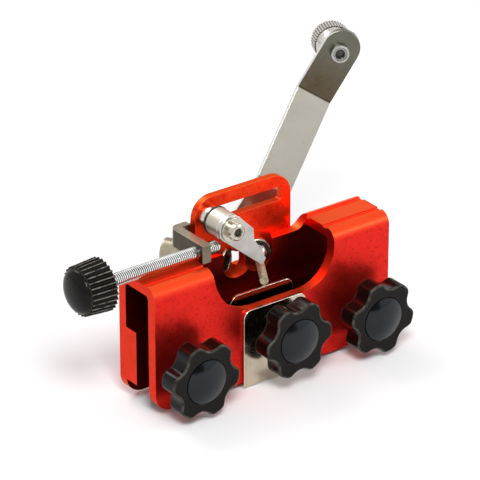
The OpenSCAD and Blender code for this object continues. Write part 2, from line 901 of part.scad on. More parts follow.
module thumb_knob() {
    rim = thumb_flute_depth * knurl_rim_share;
    color(black_plastic)
    along_x(thumb_right, adjuster_depth, adjuster_height)
        difference() {
            union() {
                rotate_extrude()
                    polygon(concat(
                        dome_points(thumb_d / 2 - rim, thumb_dome, -thumb_length, -1),
                        [[thumb_d / 2 - rim, 0], [0, 0]]));
                translate([0, 0, rim - thumb_length])
                    linear_extrude(thumb_length - 2 * rim)
                        toothed(thumb_d, thumb_flutes, thumb_flute_depth);
            }
            disc(adjuster_d, -adjuster_grip, over);
        }
}

// Tooth stop

module at_pin() {
    along_y(pin_x, 0, pin_z) children();
}

module pivot_pin() {
    color(steel)
    at_pin()
        difference() {
            union() {
                disc(pin_d, pin_washer_front, pin_end);
                chamfered_disc(pin_head_d, pin_head_front, pin_washer_front, pin_head_height / 10);
            }
            hex_bar(pin_head_d * socket_share / hex_share, pin_head_front - over,
                    pin_head_front + pin_head_height * socket_depth_share);
        }
}

module pin_washer() {
    color(steel)
    at_pin() ring(pin_washer_d, pin_d, pin_washer_front, pin_washer_back);
}

// Outline of the pawl's arm in X and Z, from the pin
module pawl_arm_outline() {
    function place(share) = [share[0] * pawl_reach, -share[1] * pawl_drop];
    inside = pawl_hub_radius * 0.985;
    polygon([[inside * cos(45), inside * sin(45)], place(pawl_shoulder_share),
             place(pawl_waist_share), place(pawl_nose_share), place(pawl_tip_share),
             [-inside * sin(43), -inside * cos(43)]]);
}

module pawl() {
    color(satin_steel)
    difference() {
        union() {
            at_pin() disc(2 * pawl_hub_radius, pawl_front, pawl_back);
            difference() {
                translate([pin_x, 0, pin_z]) across(pawl_front, pawl_back) pawl_arm_outline();
                at_pin() disc(pawl_hub_radius, pawl_front - over, pawl_back + over);
            }
        }
        at_pin() disc(pin_d + 2 * running_gap, pawl_front - over, pawl_back + over);
    }
}

module spacer_bush() {
    color(satin_steel)
    at_pin()
        difference() {
            chamfered_disc(bush_d, bush_front, shim_front, bush_d / 40);
            disc(pin_d, bush_front - over, shim_front + over);
        }
}

module bush_shim() {
    color(dark_steel)
    at_pin() ring(shim_d, pin_d, shim_front, roller_front);
}

module slot_roller() {
    color(bright_steel)
    at_pin()
        difference() {
            union() {
                disc(roller_d, roller_front, back_face - face_gap);
                disc(roller_neck_d, roller_front, plate_back + face_gap);
            }
            disc(pin_d, roller_front - over, plate_back + over);
        }
}

module rear_washer() {
    color(steel)
    at_pin() ring(rear_washer_d, pin_d, rear_washer_front, rear_nut_front);
}

module rear_nut() {
    color(bright_steel)
    at_pin() hex_nut(rear_nut_d, pin_d, rear_nut_front, rear_nut_front + rear_nut_height);
}

// Star knobs

module at_side(s) {
    along_y(s * side_knob_x, 0, side_knob_height) children();
}

module at_centre() {
    along_y(centre_knob_x, 0, centre_knob_height) children();
}

// Lobed outline: round lobes on a hub, with a valley cut between each two
module star_outline() {
    lobe_r = knob_d * knob_lobe_share;
    valley_r = knob_d * knob_valley_share;
    difference() {
        union() {
            circle(knob_d * knob_hub_share);
            for (i = [0 : knob_lobes - 1])
                rotate(i * 360 / knob_lobes)
                    translate([knob_d * knob_lobe_place_share, 0]) circle(lobe_r);
        }
        for (i = [0 : knob_lobes - 1])
            rotate((i + 0.5) * 360 / knob_lobes)
                translate([knob_d * knob_valley_place_share, 0]) circle(valley_r);
    }
}

// Lobed head and neck; back is the place of the neck's end, angle the turn of the lobes
module star_knob(back, angle) {
    head_back = back - knob_neck_length;
    face = head_back - knob_thickness;
    difference() {
        union() {
            intersection() {
                rotate_extrude() knob_profile(face, head_back);
                translate([0, 0, face - over])
                    linear_extrude(knob_thickness + 2 * over) rotate(angle) star_outline();
            }
            disc(knob_neck_d, head_back, back);
        }
        disc(stud_d, back - stud_grip, back + over);
        disc(knob_cap_d, face - over, face + knob_cap_recess);
    }
}

module knob_profile(z0, z1) {
    r = knob_d / 2;
    square_part = knob_round;
    translate([0, z0]) square([r - square_part, z1 - z0]);
    translate([0, z0 + square_part]) square([r, z1 - z0 - 2 * square_part]);
    for (z = [z0 + square_part, z1 - square_part])
        translate([r - square_part, z]) circle(square_part);
}

module knob_cap(back) {
    face = back - knob_neck_length - knob_thickness;
    rotate_extrude()
        polygon(concat(dome_points(knob_cap_d / 2, knob_cap_dome, face, -1),
                       [[knob_cap_d / 2, face + knob_cap_recess], [0, face + knob_cap_recess]]));
}

// Stud from the knob to its slim tip
module stud(back, shoulder, tip) {
    disc(stud_d, back - stud_grip, shoulder);
    disc(stud_tip_d, back - stud_grip, tip);
}

module left_knob() {
    color(black_plastic) at_side(-1) star_knob(side_neck_back, left_knob_angle);
}

module left_knob_cap() {
    color(black_plastic) at_side(-1) knob_cap(side_neck_back);
}

module left_stud() {
    color(steel) at_side(-1) side_stud();
}

module left_pad() {
    color(steel) at_side(-1) pad();
}

module right_knob() {
    color(black_plastic) at_side(1) star_knob(side_neck_back, right_knob_angle);
}

module right_knob_cap() {
    color(black_plastic) at_side(1) knob_cap(side_neck_back);
}

module right_stud() {
    color(steel) at_side(1) side_stud();
}

module right_pad() {
    color(steel) at_side(1) pad();
}

module side_stud() {
    stud(side_neck_back, pad_front - face_gap, pad_front + pad_socket - face_gap);
}

module pad() {
    difference() {
        chamfered_disc(pad_d, pad_front, pad_back, pad_thickness / 6);
        disc(stud_tip_d + 2 * running_gap, pad_front - over, pad_front + pad_socket);
    }
}

module centre_knob() {
    color(black_plastic) at_centre() star_knob(centre_neck_back, centre_knob_angle);
}

module centre_knob_cap() {
    color(black_plastic) at_centre() knob_cap(centre_neck_back);
}

module centre_stud() {
    color(steel) at_centre() stud(centre_neck_back, front_inner, clip_inner_back - face_gap);
}

// Guide clip: a sheet folded under the front wall

module clip_leg(top) {
    r = clip_radius;
    translate([-clip_left, -clip_fold]) square([clip_left + clip_right, top - r + clip_fold]);
    translate([r - clip_left, 0]) square([clip_left + clip_right - 2 * r, top]);
    for (x = [r - clip_left, clip_right - r])
        translate([x, top - r]) circle(r);
}

module guide_clip() {
    fold_depth = clip_inner_back - clip_outer_front;
    color(steel)
    difference() {
        union() {
            across(clip_outer_front, clip_outer_front + clip_sheet) clip_leg(clip_outer_top);
            across(clip_inner_front, clip_inner_back) clip_leg(clip_inner_top);
            translate([-clip_left, clip_outer_front, -clip_fold])
                cube([clip_left + clip_right, fold_depth, clip_sheet]);
        }
        for (y = [clip_outer_front, clip_inner_back])
            fold_edge(y, y > work_front - clip_sheet ? 1 : -1);
        at_centre() disc(stud_d + 4 * face_gap, clip_outer_front - over, front_face);
        at_centre() disc(stud_tip_d + 2 * running_gap, front_face, clip_inner_back + over);
    }
}

// Rounds one lower edge of the fold; s is 1 for the inner edge, -1 for the outer
module fold_edge(y, s) {
    r = clip_bend_radius;
    translate([-clip_left - over, y - s * r, r - clip_fold])
        rotate([90, 0, 90])
            linear_extrude(clip_left + clip_right + 2 * over)
                difference() {
                    translate([s > 0 ? 0 : -r - over, -r - over]) square([r + over, r + over]);
                    circle(r);
                }
}

module clip_ring() {
    color(dark_steel)
    at_centre()
        ring(clip_ring_d, stud_tip_d, clip_inner_front - face_gap - clip_ring_t,
             clip_inner_front - face_gap);
}

clamp_body();
slotted_plate();
plate_screws();
adjuster_bracket();
bracket_screws();
bit_sleeve();
spare_sleeve();
bit_shank();
grinding_head();
thrust_washer();
crank_arm();
crank_nut();
grip_screw();
grip_washer();
grip();
grip_nut();
adjuster_screw();
thumb_knob();
pivot_pin();
pin_washer();
pawl();
spacer_bush();
bush_shim();
slot_roller();
rear_washer();
rear_nut();
left_knob();
left_knob_cap();
left_stud();
left_pad();
right_knob();
right_knob_cap();
right_stud();
right_pad();
centre_knob();
centre_knob_cap();
centre_stud();
guide_clip();
clip_ring();
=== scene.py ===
"""Looks of the hand-cranked sharpener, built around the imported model.

Each sub-assembly is a class. It keeps its sizes in millimetres as dataclass fields,
builds its pieces as meshes and hands them to the bodies that carry them.
"""

import logging
import math
from dataclasses import dataclass, field
from enum import Enum
from functools import cache
from typing import Callable, Optional, Sequence, Union

import bmesh
import bpy
from mathutils import Matrix, Vector, noise


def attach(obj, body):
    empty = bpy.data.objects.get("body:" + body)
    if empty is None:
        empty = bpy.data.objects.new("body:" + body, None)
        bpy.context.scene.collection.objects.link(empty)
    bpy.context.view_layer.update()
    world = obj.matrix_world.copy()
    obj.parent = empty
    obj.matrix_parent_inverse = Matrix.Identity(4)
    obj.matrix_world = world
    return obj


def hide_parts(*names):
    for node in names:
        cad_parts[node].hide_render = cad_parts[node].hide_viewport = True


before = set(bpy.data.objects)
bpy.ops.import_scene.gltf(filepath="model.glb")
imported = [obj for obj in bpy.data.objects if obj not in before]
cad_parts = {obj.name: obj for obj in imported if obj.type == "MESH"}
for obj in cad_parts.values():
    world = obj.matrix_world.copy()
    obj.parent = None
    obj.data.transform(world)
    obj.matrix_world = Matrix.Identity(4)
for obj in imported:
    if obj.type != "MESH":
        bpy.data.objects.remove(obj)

LOG = logging.getLogger("sharpener")
MM = 0.001
TURN = 2 * math.pi
ROUND = 96
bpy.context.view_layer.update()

Profile = Sequence[tuple[float, float]]
Point = tuple[float, float, float]
Colour = tuple[float, float, float]
Socket = bpy.types.NodeSocket
Number = Union[float, Socket]
Paint = Union[Colour, Socket]
ToneRule = Callable[[Vector, Vector], float]

WHITE = (1.0, 1.0, 1.0)
ALONG_X = (1.0, 0.0, 0.0)
ALONG_Y = (0.0, 1.0, 0.0)


class Edge(Enum):
    """Width of a broken edge, in millimetres."""

    CRISP = 0.12
    FINE = 0.22
    EASED = 0.4
    ROUNDED = 1.25


class Grain(Enum):
    """Direction in which a metal surface was worked, as stretches along X, Y and Z."""

    ALONG_Z = (1.0, 1.0, 0.03)
    EVEN = (1.0, 1.0, 1.0)


def stand(name: str, data: bpy.types.ID) -> bpy.types.Object:
    """Makes an object from its data and links it to the scene.

    Args:
        name: the object's name.
        data: its mesh, light or camera.

    Returns:
        The new object.
    """
    made = bpy.data.objects.new(name, data)
    bpy.context.scene.collection.objects.link(made)
    return made


# Nodes, and the shader groups that several finishes share


class Sheet:
    """Adds nodes to one tree and links them."""

    def __init__(self, tree: bpy.types.NodeTree) -> None:
        """Keeps the tree to work on."""
        self.tree = tree

    def feed(self, socket: Socket, value: object) -> None:
        """Links a node's output into a socket, or sets the socket's plain value.

        Args:
            socket: the socket to feed.
            value: another node's output, a number, a colour or a vector.
        """
        if isinstance(value, Socket):
            self.tree.links.new(value, socket)
        elif socket.type == "RGBA":
            socket.default_value = (*value, 1.0)
        else:
            socket.default_value = value

    def add(self, kind: str, inputs: Optional[dict] = None, **settings: object) -> bpy.types.Node:
        """Adds a node.

        Args:
            kind: Blender's name for the node.
            inputs: what each input socket takes, as feed does.
            settings: the node's properties.

        Returns:
            The new node.
        """
        node = self.tree.nodes.new(kind)
        for name, value in settings.items():
            setattr(node, name, value)
        for socket, value in (inputs or {}).items():
            self.feed(node.inputs[socket], value)
        return node

    def group(self, tree: bpy.types.NodeTree, **inputs: object) -> Sequence[Socket]:
        """Places a shared group with its own values and returns its outputs."""
        return self.add("ShaderNodeGroup", inputs, node_tree=tree).outputs

    def cloud(self, place: Socket, scale: Number, detail: float, roughness: float) -> Socket:
        """Adds cloudy noise."""
        values = {"Vector": place, "Scale": scale, "Detail": detail, "Roughness": roughness}
        return self.add("ShaderNodeTexNoise", values).outputs["Fac"]

    def attribute(self, name: str) -> Socket:
        """Reads a value that the mesh's faces carry."""
        return self.add("ShaderNodeAttribute", attribute_name=name).outputs["Fac"]

    def combine(self, operation: str, first: Number, second: Number) -> Socket:
        """Works out one value from two."""
        return self.add("ShaderNodeMath", {0: first, 1: second}, operation=operation).outputs[0]

    def dot(self, place: Socket, direction: Point) -> Socket:
        """Measures how far a place lies along a direction."""
        return self.add("ShaderNodeVectorMath", {0: place, 1: direction},
                        operation="DOT_PRODUCT").outputs["Value"]

    def mix(self, first: Paint, second: Paint, mask: Socket) -> Socket:
        """Mixes two colours by a mask."""
        return self.add("ShaderNodeMix", {0: mask, 6: first, 7: second},
                        data_type="RGBA").outputs[2]

    def between(self, value: Socket, low: float = 0.0, high: float = 1.0, start: Number = 0.0,
                end: Number = 1.0, kind: str = "LINEAR") -> Socket:
        """Maps a value from start and end onto low and high.

        Args:
            value: the value to map.
            low: what comes out at start.
            high: what comes out at end.
            start: the value that gives low.
            end: the value that gives high.
            kind: Blender's name for the way between them.

        Returns:
            The mapped value, never past low or high.
        """
        values = {"Value": value, "From Min": start, "From Max": end, "To Min": low,
                  "To Max": high}
        return self.add("ShaderNodeMapRange", values, interpolation_type=kind).outputs["Result"]

    def bump(self, height: Socket, strength: float, depth: float) -> Socket:
        """Turns a height into a normal; depth is in millimetres."""
        values = {"Height": height, "Strength": strength, "Distance": depth * MM}
        return self.add("ShaderNodeBump", values).outputs["Normal"]


def open_group(name: str, outputs: Sequence[str],
               **inputs: float) -> tuple[Sheet, Sequence[Socket]]:
    """Opens a new shader group that reads a place and some numbers.

    Args:
        name: the group's name.
        outputs: names of the numbers that it puts out.
        inputs: default of each number that it reads beside its Vector.

    Returns:
        A sheet that adds nodes to the group, and the sockets that it reads.
    """
    tree = bpy.data.node_groups.new(name, "ShaderNodeTree")
    tree.interface.new_socket("Vector", in_out="INPUT", socket_type="NodeSocketVector")
    for label, default in inputs.items():
        socket = tree.interface.new_socket(label, in_out="INPUT", socket_type="NodeSocketFloat")
        socket.default_value = default
    for label in outputs:
        tree.interface.new_socket(label, in_out="OUTPUT", socket_type="NodeSocketFloat")
    sheet = Sheet(tree)
    return sheet, sheet.add("NodeGroupInput").outputs


@cache
def worked_grain() -> bpy.types.NodeTree:
    """Makes fine scratches drawn out along one direction, as Height and as Tone.

    Returns:
        The shared group.
    """
    sheet, given = open_group("worked_grain", ("Height", "Tone"), Scale=900.0)
    fine = sheet.cloud(given["Vector"], given["Scale"], 4.0, 0.65)
    broad = sheet.cloud(given["Vector"], sheet.combine("MULTIPLY", given["Scale"], 0.22), 2.0, 0.5)
    tone = sheet.combine("MULTIPLY", sheet.combine("ADD", fine, broad), 0.5)
    sheet.add("NodeGroupOutput", {"Height": fine, "Tone": tone})
    return sheet.tree


@cache
def cloudy_patches() -> bpy.types.NodeTree:
    """Makes soft uneven patches, as a mask from 0 to 1.

    Returns:
        The shared group.
    """
    sheet, given = open_group("cloudy_patches", ("Mask",), Scale=60.0, Low=0.4, High=0.65)
    cloud = sheet.cloud(given["Vector"], given["Scale"], 7.0, 0.62)
    mask = sheet.between(cloud, start=given["Low"], end=given["High"], kind="SMOOTHSTEP")
    sheet.add("NodeGroupOutput", {"Mask": mask})
    return sheet.tree


@cache
def rubbed_and_highlit_edges() -> bpy.types.NodeTree:
    """Makes rubbing and painted highlights on the broken edges, torn up by noise, as a mask from 0
    to 1.

    Returns:
        The shared group.
    """
    sheet, given = open_group("rubbed_and_highlit_edges", ("Mask",), Scale=400.0, Amount=0.6)
    cloud = sheet.cloud(given["Vector"], given["Scale"], 4.0, 0.6)
    torn = sheet.combine("MULTIPLY", sheet.attribute("wear_and_highlight"), sheet.between(cloud, 0, 1, 0.3, 0.6))
    sheet.add("NodeGroupOutput", {"Mask": sheet.combine("MULTIPLY", torn, given["Amount"])})
    return sheet.tree


# Finishes


@dataclass(frozen=True)
class Finish:
    """A surface that becomes a material once, and is then shared."""

    name: str

    def paint(self, sheet: Sheet, place: Socket) -> dict[str, object]:
        """Adds the finish's nodes and returns what the shader's sockets take."""
        raise NotImplementedError

    def material(self) -> bpy.types.Material:
        """Makes the material, or returns the one already made.

        Returns:
            The material.
        """
        made = bpy.data.materials.get(self.name)
        if not made:
            made = bpy.data.materials.new(self.name)
            made.use_nodes = True
            sheet = Sheet(made.node_tree)
            shader = made.node_tree.nodes["Principled BSDF"]
            place = sheet.add("ShaderNodeTexCoord").outputs["Object"]
            for socket, value in self.paint(sheet, place).items():
                sheet.feed(shader.inputs[socket], value)
        return made


@dataclass(frozen=True)
class MetalFinish(Finish):
    """A bare, plated or anodised metal."""

    base: Colour
    shade: Colour
    bright: Colour
    metallic: float = 1.0
    rough: tuple[float, float] = (0.22, 0.4)
    grain: Grain = Grain.EVEN
    grain_scale: float = 900.0
    grain_depth: float = 0.01
    grain_strength: float = 0.6
    patch_scale: float = 70.0
    patch_low: float = 0.42
    patch_high: float = 0.66
    streaks: tuple[float, float] = (-0.3, 0.4)
    sheen: tuple[float, float] = (-0.04, 0.09)
    wear_and_highlight: float = 0.5
    # Painted light: faces whose tone is 1 take the first colour below, a painted highlight; faces
    # whose tone is -1 take the second, painted shade.
    painted_highlight: Optional[Colour] = None
    painted_shade: Optional[Colour] = None
    speckle: Optional[Colour] = None
    speckle_scale: float = 1000.0
    speckle_range: tuple[float, float] = (0.54, 0.70)
    edge_tint: Colour = WHITE
    # A hook that paints reflection into the colour; the crank arm uses it.
    painted_reflection: Optional[Callable[[Sheet, Socket, Paint], Paint]] = None

    def paint(self, sheet: Sheet, place: Socket) -> dict[str, object]:
        """Mixes patches, streaks, specks, painted light and shade, and rubbed edges with painted
        edge highlights into the metal's colour.

        Args:
            sheet: the material's sheet.
            place: the object's own coordinates.

        Returns:
            What each of the shader's sockets takes.
        """
        stretch = sheet.add("ShaderNodeMapping", {"Vector": place, "Scale": self.grain.value})
        grain = sheet.group(worked_grain(), Vector=stretch.outputs["Vector"],
                            Scale=self.grain_scale)
        patch = sheet.group(cloudy_patches(), Vector=place, Scale=self.patch_scale,
                            Low=self.patch_low, High=self.patch_high)
        edge_wear_and_highlight = sheet.group(rubbed_and_highlit_edges(), Vector=place, Amount=self.wear_and_highlight)
        colour = sheet.mix(self.base, self.shade, patch["Mask"])
        colour = sheet.mix(colour, self.bright, sheet.between(grain["Tone"], *self.streaks))
        if self.speckle:
            low, high = self.speckle_range
            specks = sheet.group(cloudy_patches(), Vector=place, Scale=self.speckle_scale,
                                 Low=low, High=high)
            colour = sheet.mix(colour, self.speckle, specks["Mask"])
        # The hook paints reflection into the colour.
        if self.painted_reflection:
            colour = self.painted_reflection(sheet, place, colour)
        # Painted light and shade, picked by each face's tone.
        tone = sheet.attribute("tone")
        for side, full in ((self.painted_highlight, 1.0), (self.painted_shade, -1.0)):
            if side:
                colour = sheet.mix(colour, side, sheet.between(tone, end=full))
        colour = sheet.mix(colour, self.bright, sheet.between(grain["Tone"], *self.sheen))
        return {"Base Color": sheet.mix(colour, self.bright, edge_wear_and_highlight["Mask"]),
                "Roughness": sheet.between(grain["Tone"], *self.rough),
                "Normal": sheet.bump(grain["Height"], self.grain_strength, self.grain_depth),
                "Metallic": self.metallic, "Specular Tint": self.edge_tint}


@dataclass(frozen=True)
class PlasticFinish(Finish):
    """Moulded plastic with a fine satin skin."""

    base: Colour
    edge_wear_and_highlight: Colour
    rough: tuple[float, float] = (0.2, 0.32)
    gloss: float = 0.2
    gloss_tint: Colour = WHITE
    skin_scale: float = 1400.0
    skin_depth: float = 0.012
    skin_strength: float = 0.35
    patch_scale: float = 120.0
    wear_and_highlight: float = 0.35

    def paint(self, sheet: Sheet, place: Socket) -> dict[str, object]:
        """Lays a fine skin, uneven gloss and pale edges over the plastic; the pale edges are
        rubbing and painted highlights.

        Args:
            sheet: the material's sheet.
            place: the object's own coordinates.

        Returns:
            What each of the shader's sockets takes.
        """
        skin = sheet.group(worked_grain(), Vector=place, Scale=self.skin_scale)
        patch = sheet.group(cloudy_patches(), Vector=place, Scale=self.patch_scale)
        edge_wear_and_highlight = sheet.group(rubbed_and_highlit_edges(), Vector=place, Amount=self.wear_and_highlight)
        return {"Base Color": sheet.mix(self.base, self.edge_wear_and_highlight, edge_wear_and_highlight["Mask"]),
                "Roughness": sheet.between(patch["Mask"], *self.rough),
                "Normal": sheet.bump(skin["Height"], self.skin_strength, self.skin_depth),
                "Specular IOR Level": self.gloss, "Specular Tint": self.gloss_tint}


@dataclass(frozen=True)
class GritFinish(Finish):
    """Abrasive grit bonded to a metal core."""

    base: Colour
    dark: Colour
    bright: Colour
    metallic: float = 0.8
    rough: tuple[float, float] = (0.35, 0.7)
    grit_scale: float = 2600.0
    grit_depth: float = 0.12
    grit_strength: float = 0.9
    patch_scale: float = 900.0

    def paint(self, sheet: Sheet, place: Socket) -> dict[str, object]:
        """Scatters dark and bright grains.

        Args:
            sheet: the material's sheet.
            place: the object's own coordinates.

        Returns:
            What each of the shader's sockets takes.
        """
        cells = sheet.add("ShaderNodeTexVoronoi", {"Vector": place, "Scale": self.grit_scale})
        grit = cells.outputs["Distance"]
        cloud = sheet.group(cloudy_patches(), Vector=place, Scale=self.patch_scale)["Mask"]
        colour = sheet.mix(self.dark, self.base, sheet.between(grit, 0.0, 1.6))
        return {"Base Color": sheet.mix(colour, self.bright, sheet.between(cloud, 0.0, 0.5)),
                "Roughness": sheet.between(grit, *self.rough),
                "Normal": sheet.bump(grit, self.grit_strength, self.grit_depth),
                "Metallic": self.metallic}


@dataclass(frozen=True)
class PaperFinish(Finish):
    """Pale matt paper with faint clouds, for the floor."""

    base: Colour
    shade: Colour
    rough: float = 0.9
    gloss: float = 0.1
    patch_scale: float = 3.0

    def paint(self, sheet: Sheet, place: Socket) -> dict[str, object]:
        """Clouds the paper a little.

        Args:
            sheet: the material's sheet.
            place: the object's own coordinates.

        Returns:
            What each of the shader's sockets takes.
        """
        cloud = sheet.group(cloudy_patches(), Vector=place, Scale=self.patch_scale)["Mask"]
        return {"Base Color": sheet.mix(self.base, self.shade, cloud), "Roughness": self.rough,
                "Specular IOR Level": self.gloss}


# Red: the orange colour is painted light on the upward faces, and the dark one painted shade in
# the channel and on the slot's edges.
RED = MetalFinish("red_anodised_aluminium", (0.68, 0.017, 0.012), (0.54, 0.010, 0.008),
                  (0.88, 0.05, 0.03), metallic=0.9, rough=(0.28, 0.42), grain_scale=1500.0,
                  grain_depth=0.02, patch_scale=90.0, patch_low=0.46, patch_high=0.72, wear_and_highlight=0.6,
                  painted_highlight=(0.88, 0.075, 0.016), painted_shade=(0.045, 0.001, 0.001),
                  speckle=(0.33, 0.004, 0.003), edge_tint=(1.0, 0.72, 0.55))
RED_PLATE = MetalFinish("red_anodised_plate", (0.78, 0.034, 0.004), (0.62, 0.019, 0.003),
                        (0.92, 0.11, 0.04), metallic=0.88, rough=(0.26, 0.40),
                        grain_scale=1500.0, grain_depth=0.02, patch_scale=110.0, wear_and_highlight=0.9,
                        painted_highlight=(0.72, 0.045, 0.006), painted_shade=(0.30, 0.008, 0.003),
                        speckle=(0.40, 0.006, 0.003), edge_tint=(1.0, 0.68, 0.42))
# Where a finish below has a dark colour for marked faces, it is painted shade: in the sleeves'
# front ends, on the bracket's left side and front, in screw sockets, on the clip's inner leg, in
# the knurl's valleys and in the thread's roots. The thread's white colour for crests is a painted
# highlight.
SLEEVE = MetalFinish("turned_sleeve_steel", (0.36, 0.31, 0.22), (0.22, 0.19, 0.13),
                     (0.66, 0.61, 0.52), rough=(0.2, 0.36), grain_scale=1300.0,
                     painted_shade=(0.05, 0.042, 0.035))
BRACKET = MetalFinish("satin_nickel_bracket", (0.30, 0.25, 0.17), (0.22, 0.18, 0.12),
                      (0.62, 0.56, 0.46), rough=(0.26, 0.42), grain_scale=1200.0, wear_and_highlight=0.9,
                      painted_shade=(0.040, 0.031, 0.018))
STEEL = MetalFinish("plain_warm_steel", (0.50, 0.46, 0.38), (0.34, 0.31, 0.24),
                    (0.84, 0.82, 0.76), rough=(0.14, 0.28), grain_scale=1000.0, wear_and_highlight=0.6,
                    painted_shade=(0.23, 0.21, 0.17))
HEAD = MetalFinish("screw_head_steel", (0.40, 0.39, 0.37), (0.28, 0.27, 0.25),
                   (0.90, 0.90, 0.88), rough=(0.14, 0.26), grain_scale=1200.0, wear_and_highlight=1.2,
                   painted_shade=(0.03, 0.028, 0.025))
BUSH = MetalFinish("warm_bush_steel", (0.50, 0.455, 0.38), (0.42, 0.38, 0.31),
                   (0.74, 0.71, 0.66), rough=(0.38, 0.5), grain_scale=1500.0, wear_and_highlight=0.8)
CLIP = MetalFinish("polished_clip_sheet", (0.58, 0.50, 0.38), (0.48, 0.41, 0.29),
                   (0.92, 0.89, 0.82), rough=(0.12, 0.22), grain=Grain.ALONG_Z,
                   grain_scale=900.0, grain_depth=0.004, wear_and_highlight=0.9, painted_shade=(0.075, 0.04, 0.03))
SATIN = MetalFinish("satin_zinc", (0.48, 0.465, 0.435), (0.40, 0.385, 0.35),
                    (0.84, 0.83, 0.80), rough=(0.26, 0.42), grain_scale=1500.0, wear_and_highlight=0.6)
KNURLED = MetalFinish("knurled_grip_steel", (0.62, 0.60, 0.55), (0.50, 0.47, 0.42),
                      (0.90, 0.88, 0.84), rough=(0.12, 0.26), grain_scale=1200.0, wear_and_highlight=0.4,
                      painted_shade=(0.15, 0.11, 0.08))
CHROME = MetalFinish("bright_plating", (0.70, 0.69, 0.67), (0.52, 0.51, 0.49),
                     (0.95, 0.95, 0.95), rough=(0.12, 0.24), grain_scale=1600.0, wear_and_highlight=0.5,
                     painted_shade=(0.06, 0.055, 0.048))
THREAD = MetalFinish("bright_thread", (0.50, 0.50, 0.49), (0.40, 0.40, 0.39),
                     (0.96, 0.96, 0.96), rough=(0.12, 0.22), grain_scale=1600.0, wear_and_highlight=0.4,
                     painted_highlight=(0.95, 0.95, 0.95), painted_shade=(0.03, 0.028, 0.026))
ROLLER = MetalFinish("polished_roller", (0.56, 0.54, 0.48), (0.34, 0.31, 0.24),
                     (0.95, 0.95, 0.94), rough=(0.14, 0.24), grain_scale=1600.0, wear_and_highlight=0.6)
BLACKENED = MetalFinish("blackened_steel", (0.030, 0.028, 0.026), (0.014, 0.013, 0.012),
                        (0.30, 0.28, 0.26), rough=(0.3, 0.5), grain_scale=1200.0)
GROUND = MetalFinish("ground_shank_steel", (0.56, 0.53, 0.47), (0.36, 0.34, 0.29),
                     (0.88, 0.87, 0.85), rough=(0.14, 0.28), grain_scale=1400.0)
# The second colour of each plastic is its pale edge colour, rubbing and painted edge highlights;
# the ribbed knob's crests take it too.
BLACK = PlasticFinish("black_moulded_plastic", (0.0042, 0.0035, 0.0029),
                      (0.085, 0.075, 0.060), rough=(0.14, 0.24), gloss=0.13, wear_and_highlight=0.7)
CAP = PlasticFinish("black_cap_plastic", (0.0030, 0.0030, 0.0032), (0.030, 0.030, 0.032),
                    rough=(0.12, 0.18), gloss=0.36, gloss_tint=(0.80, 0.88, 1.0))
RIBBED = PlasticFinish("black_ribbed_plastic", (0.0045, 0.0038, 0.0030),
                       (0.20, 0.185, 0.15), rough=(0.14, 0.22), gloss=0.12, wear_and_highlight=1.0)
GRIT = GritFinish("golden_abrasive", (0.42, 0.36, 0.23), (0.16, 0.13, 0.08), (0.78, 0.72, 0.56))

PAPER = PaperFinish("pale_floor", (0.93, 0.93, 0.94), (0.91, 0.91, 0.92))


# Shapes, in millimetres until they are placed


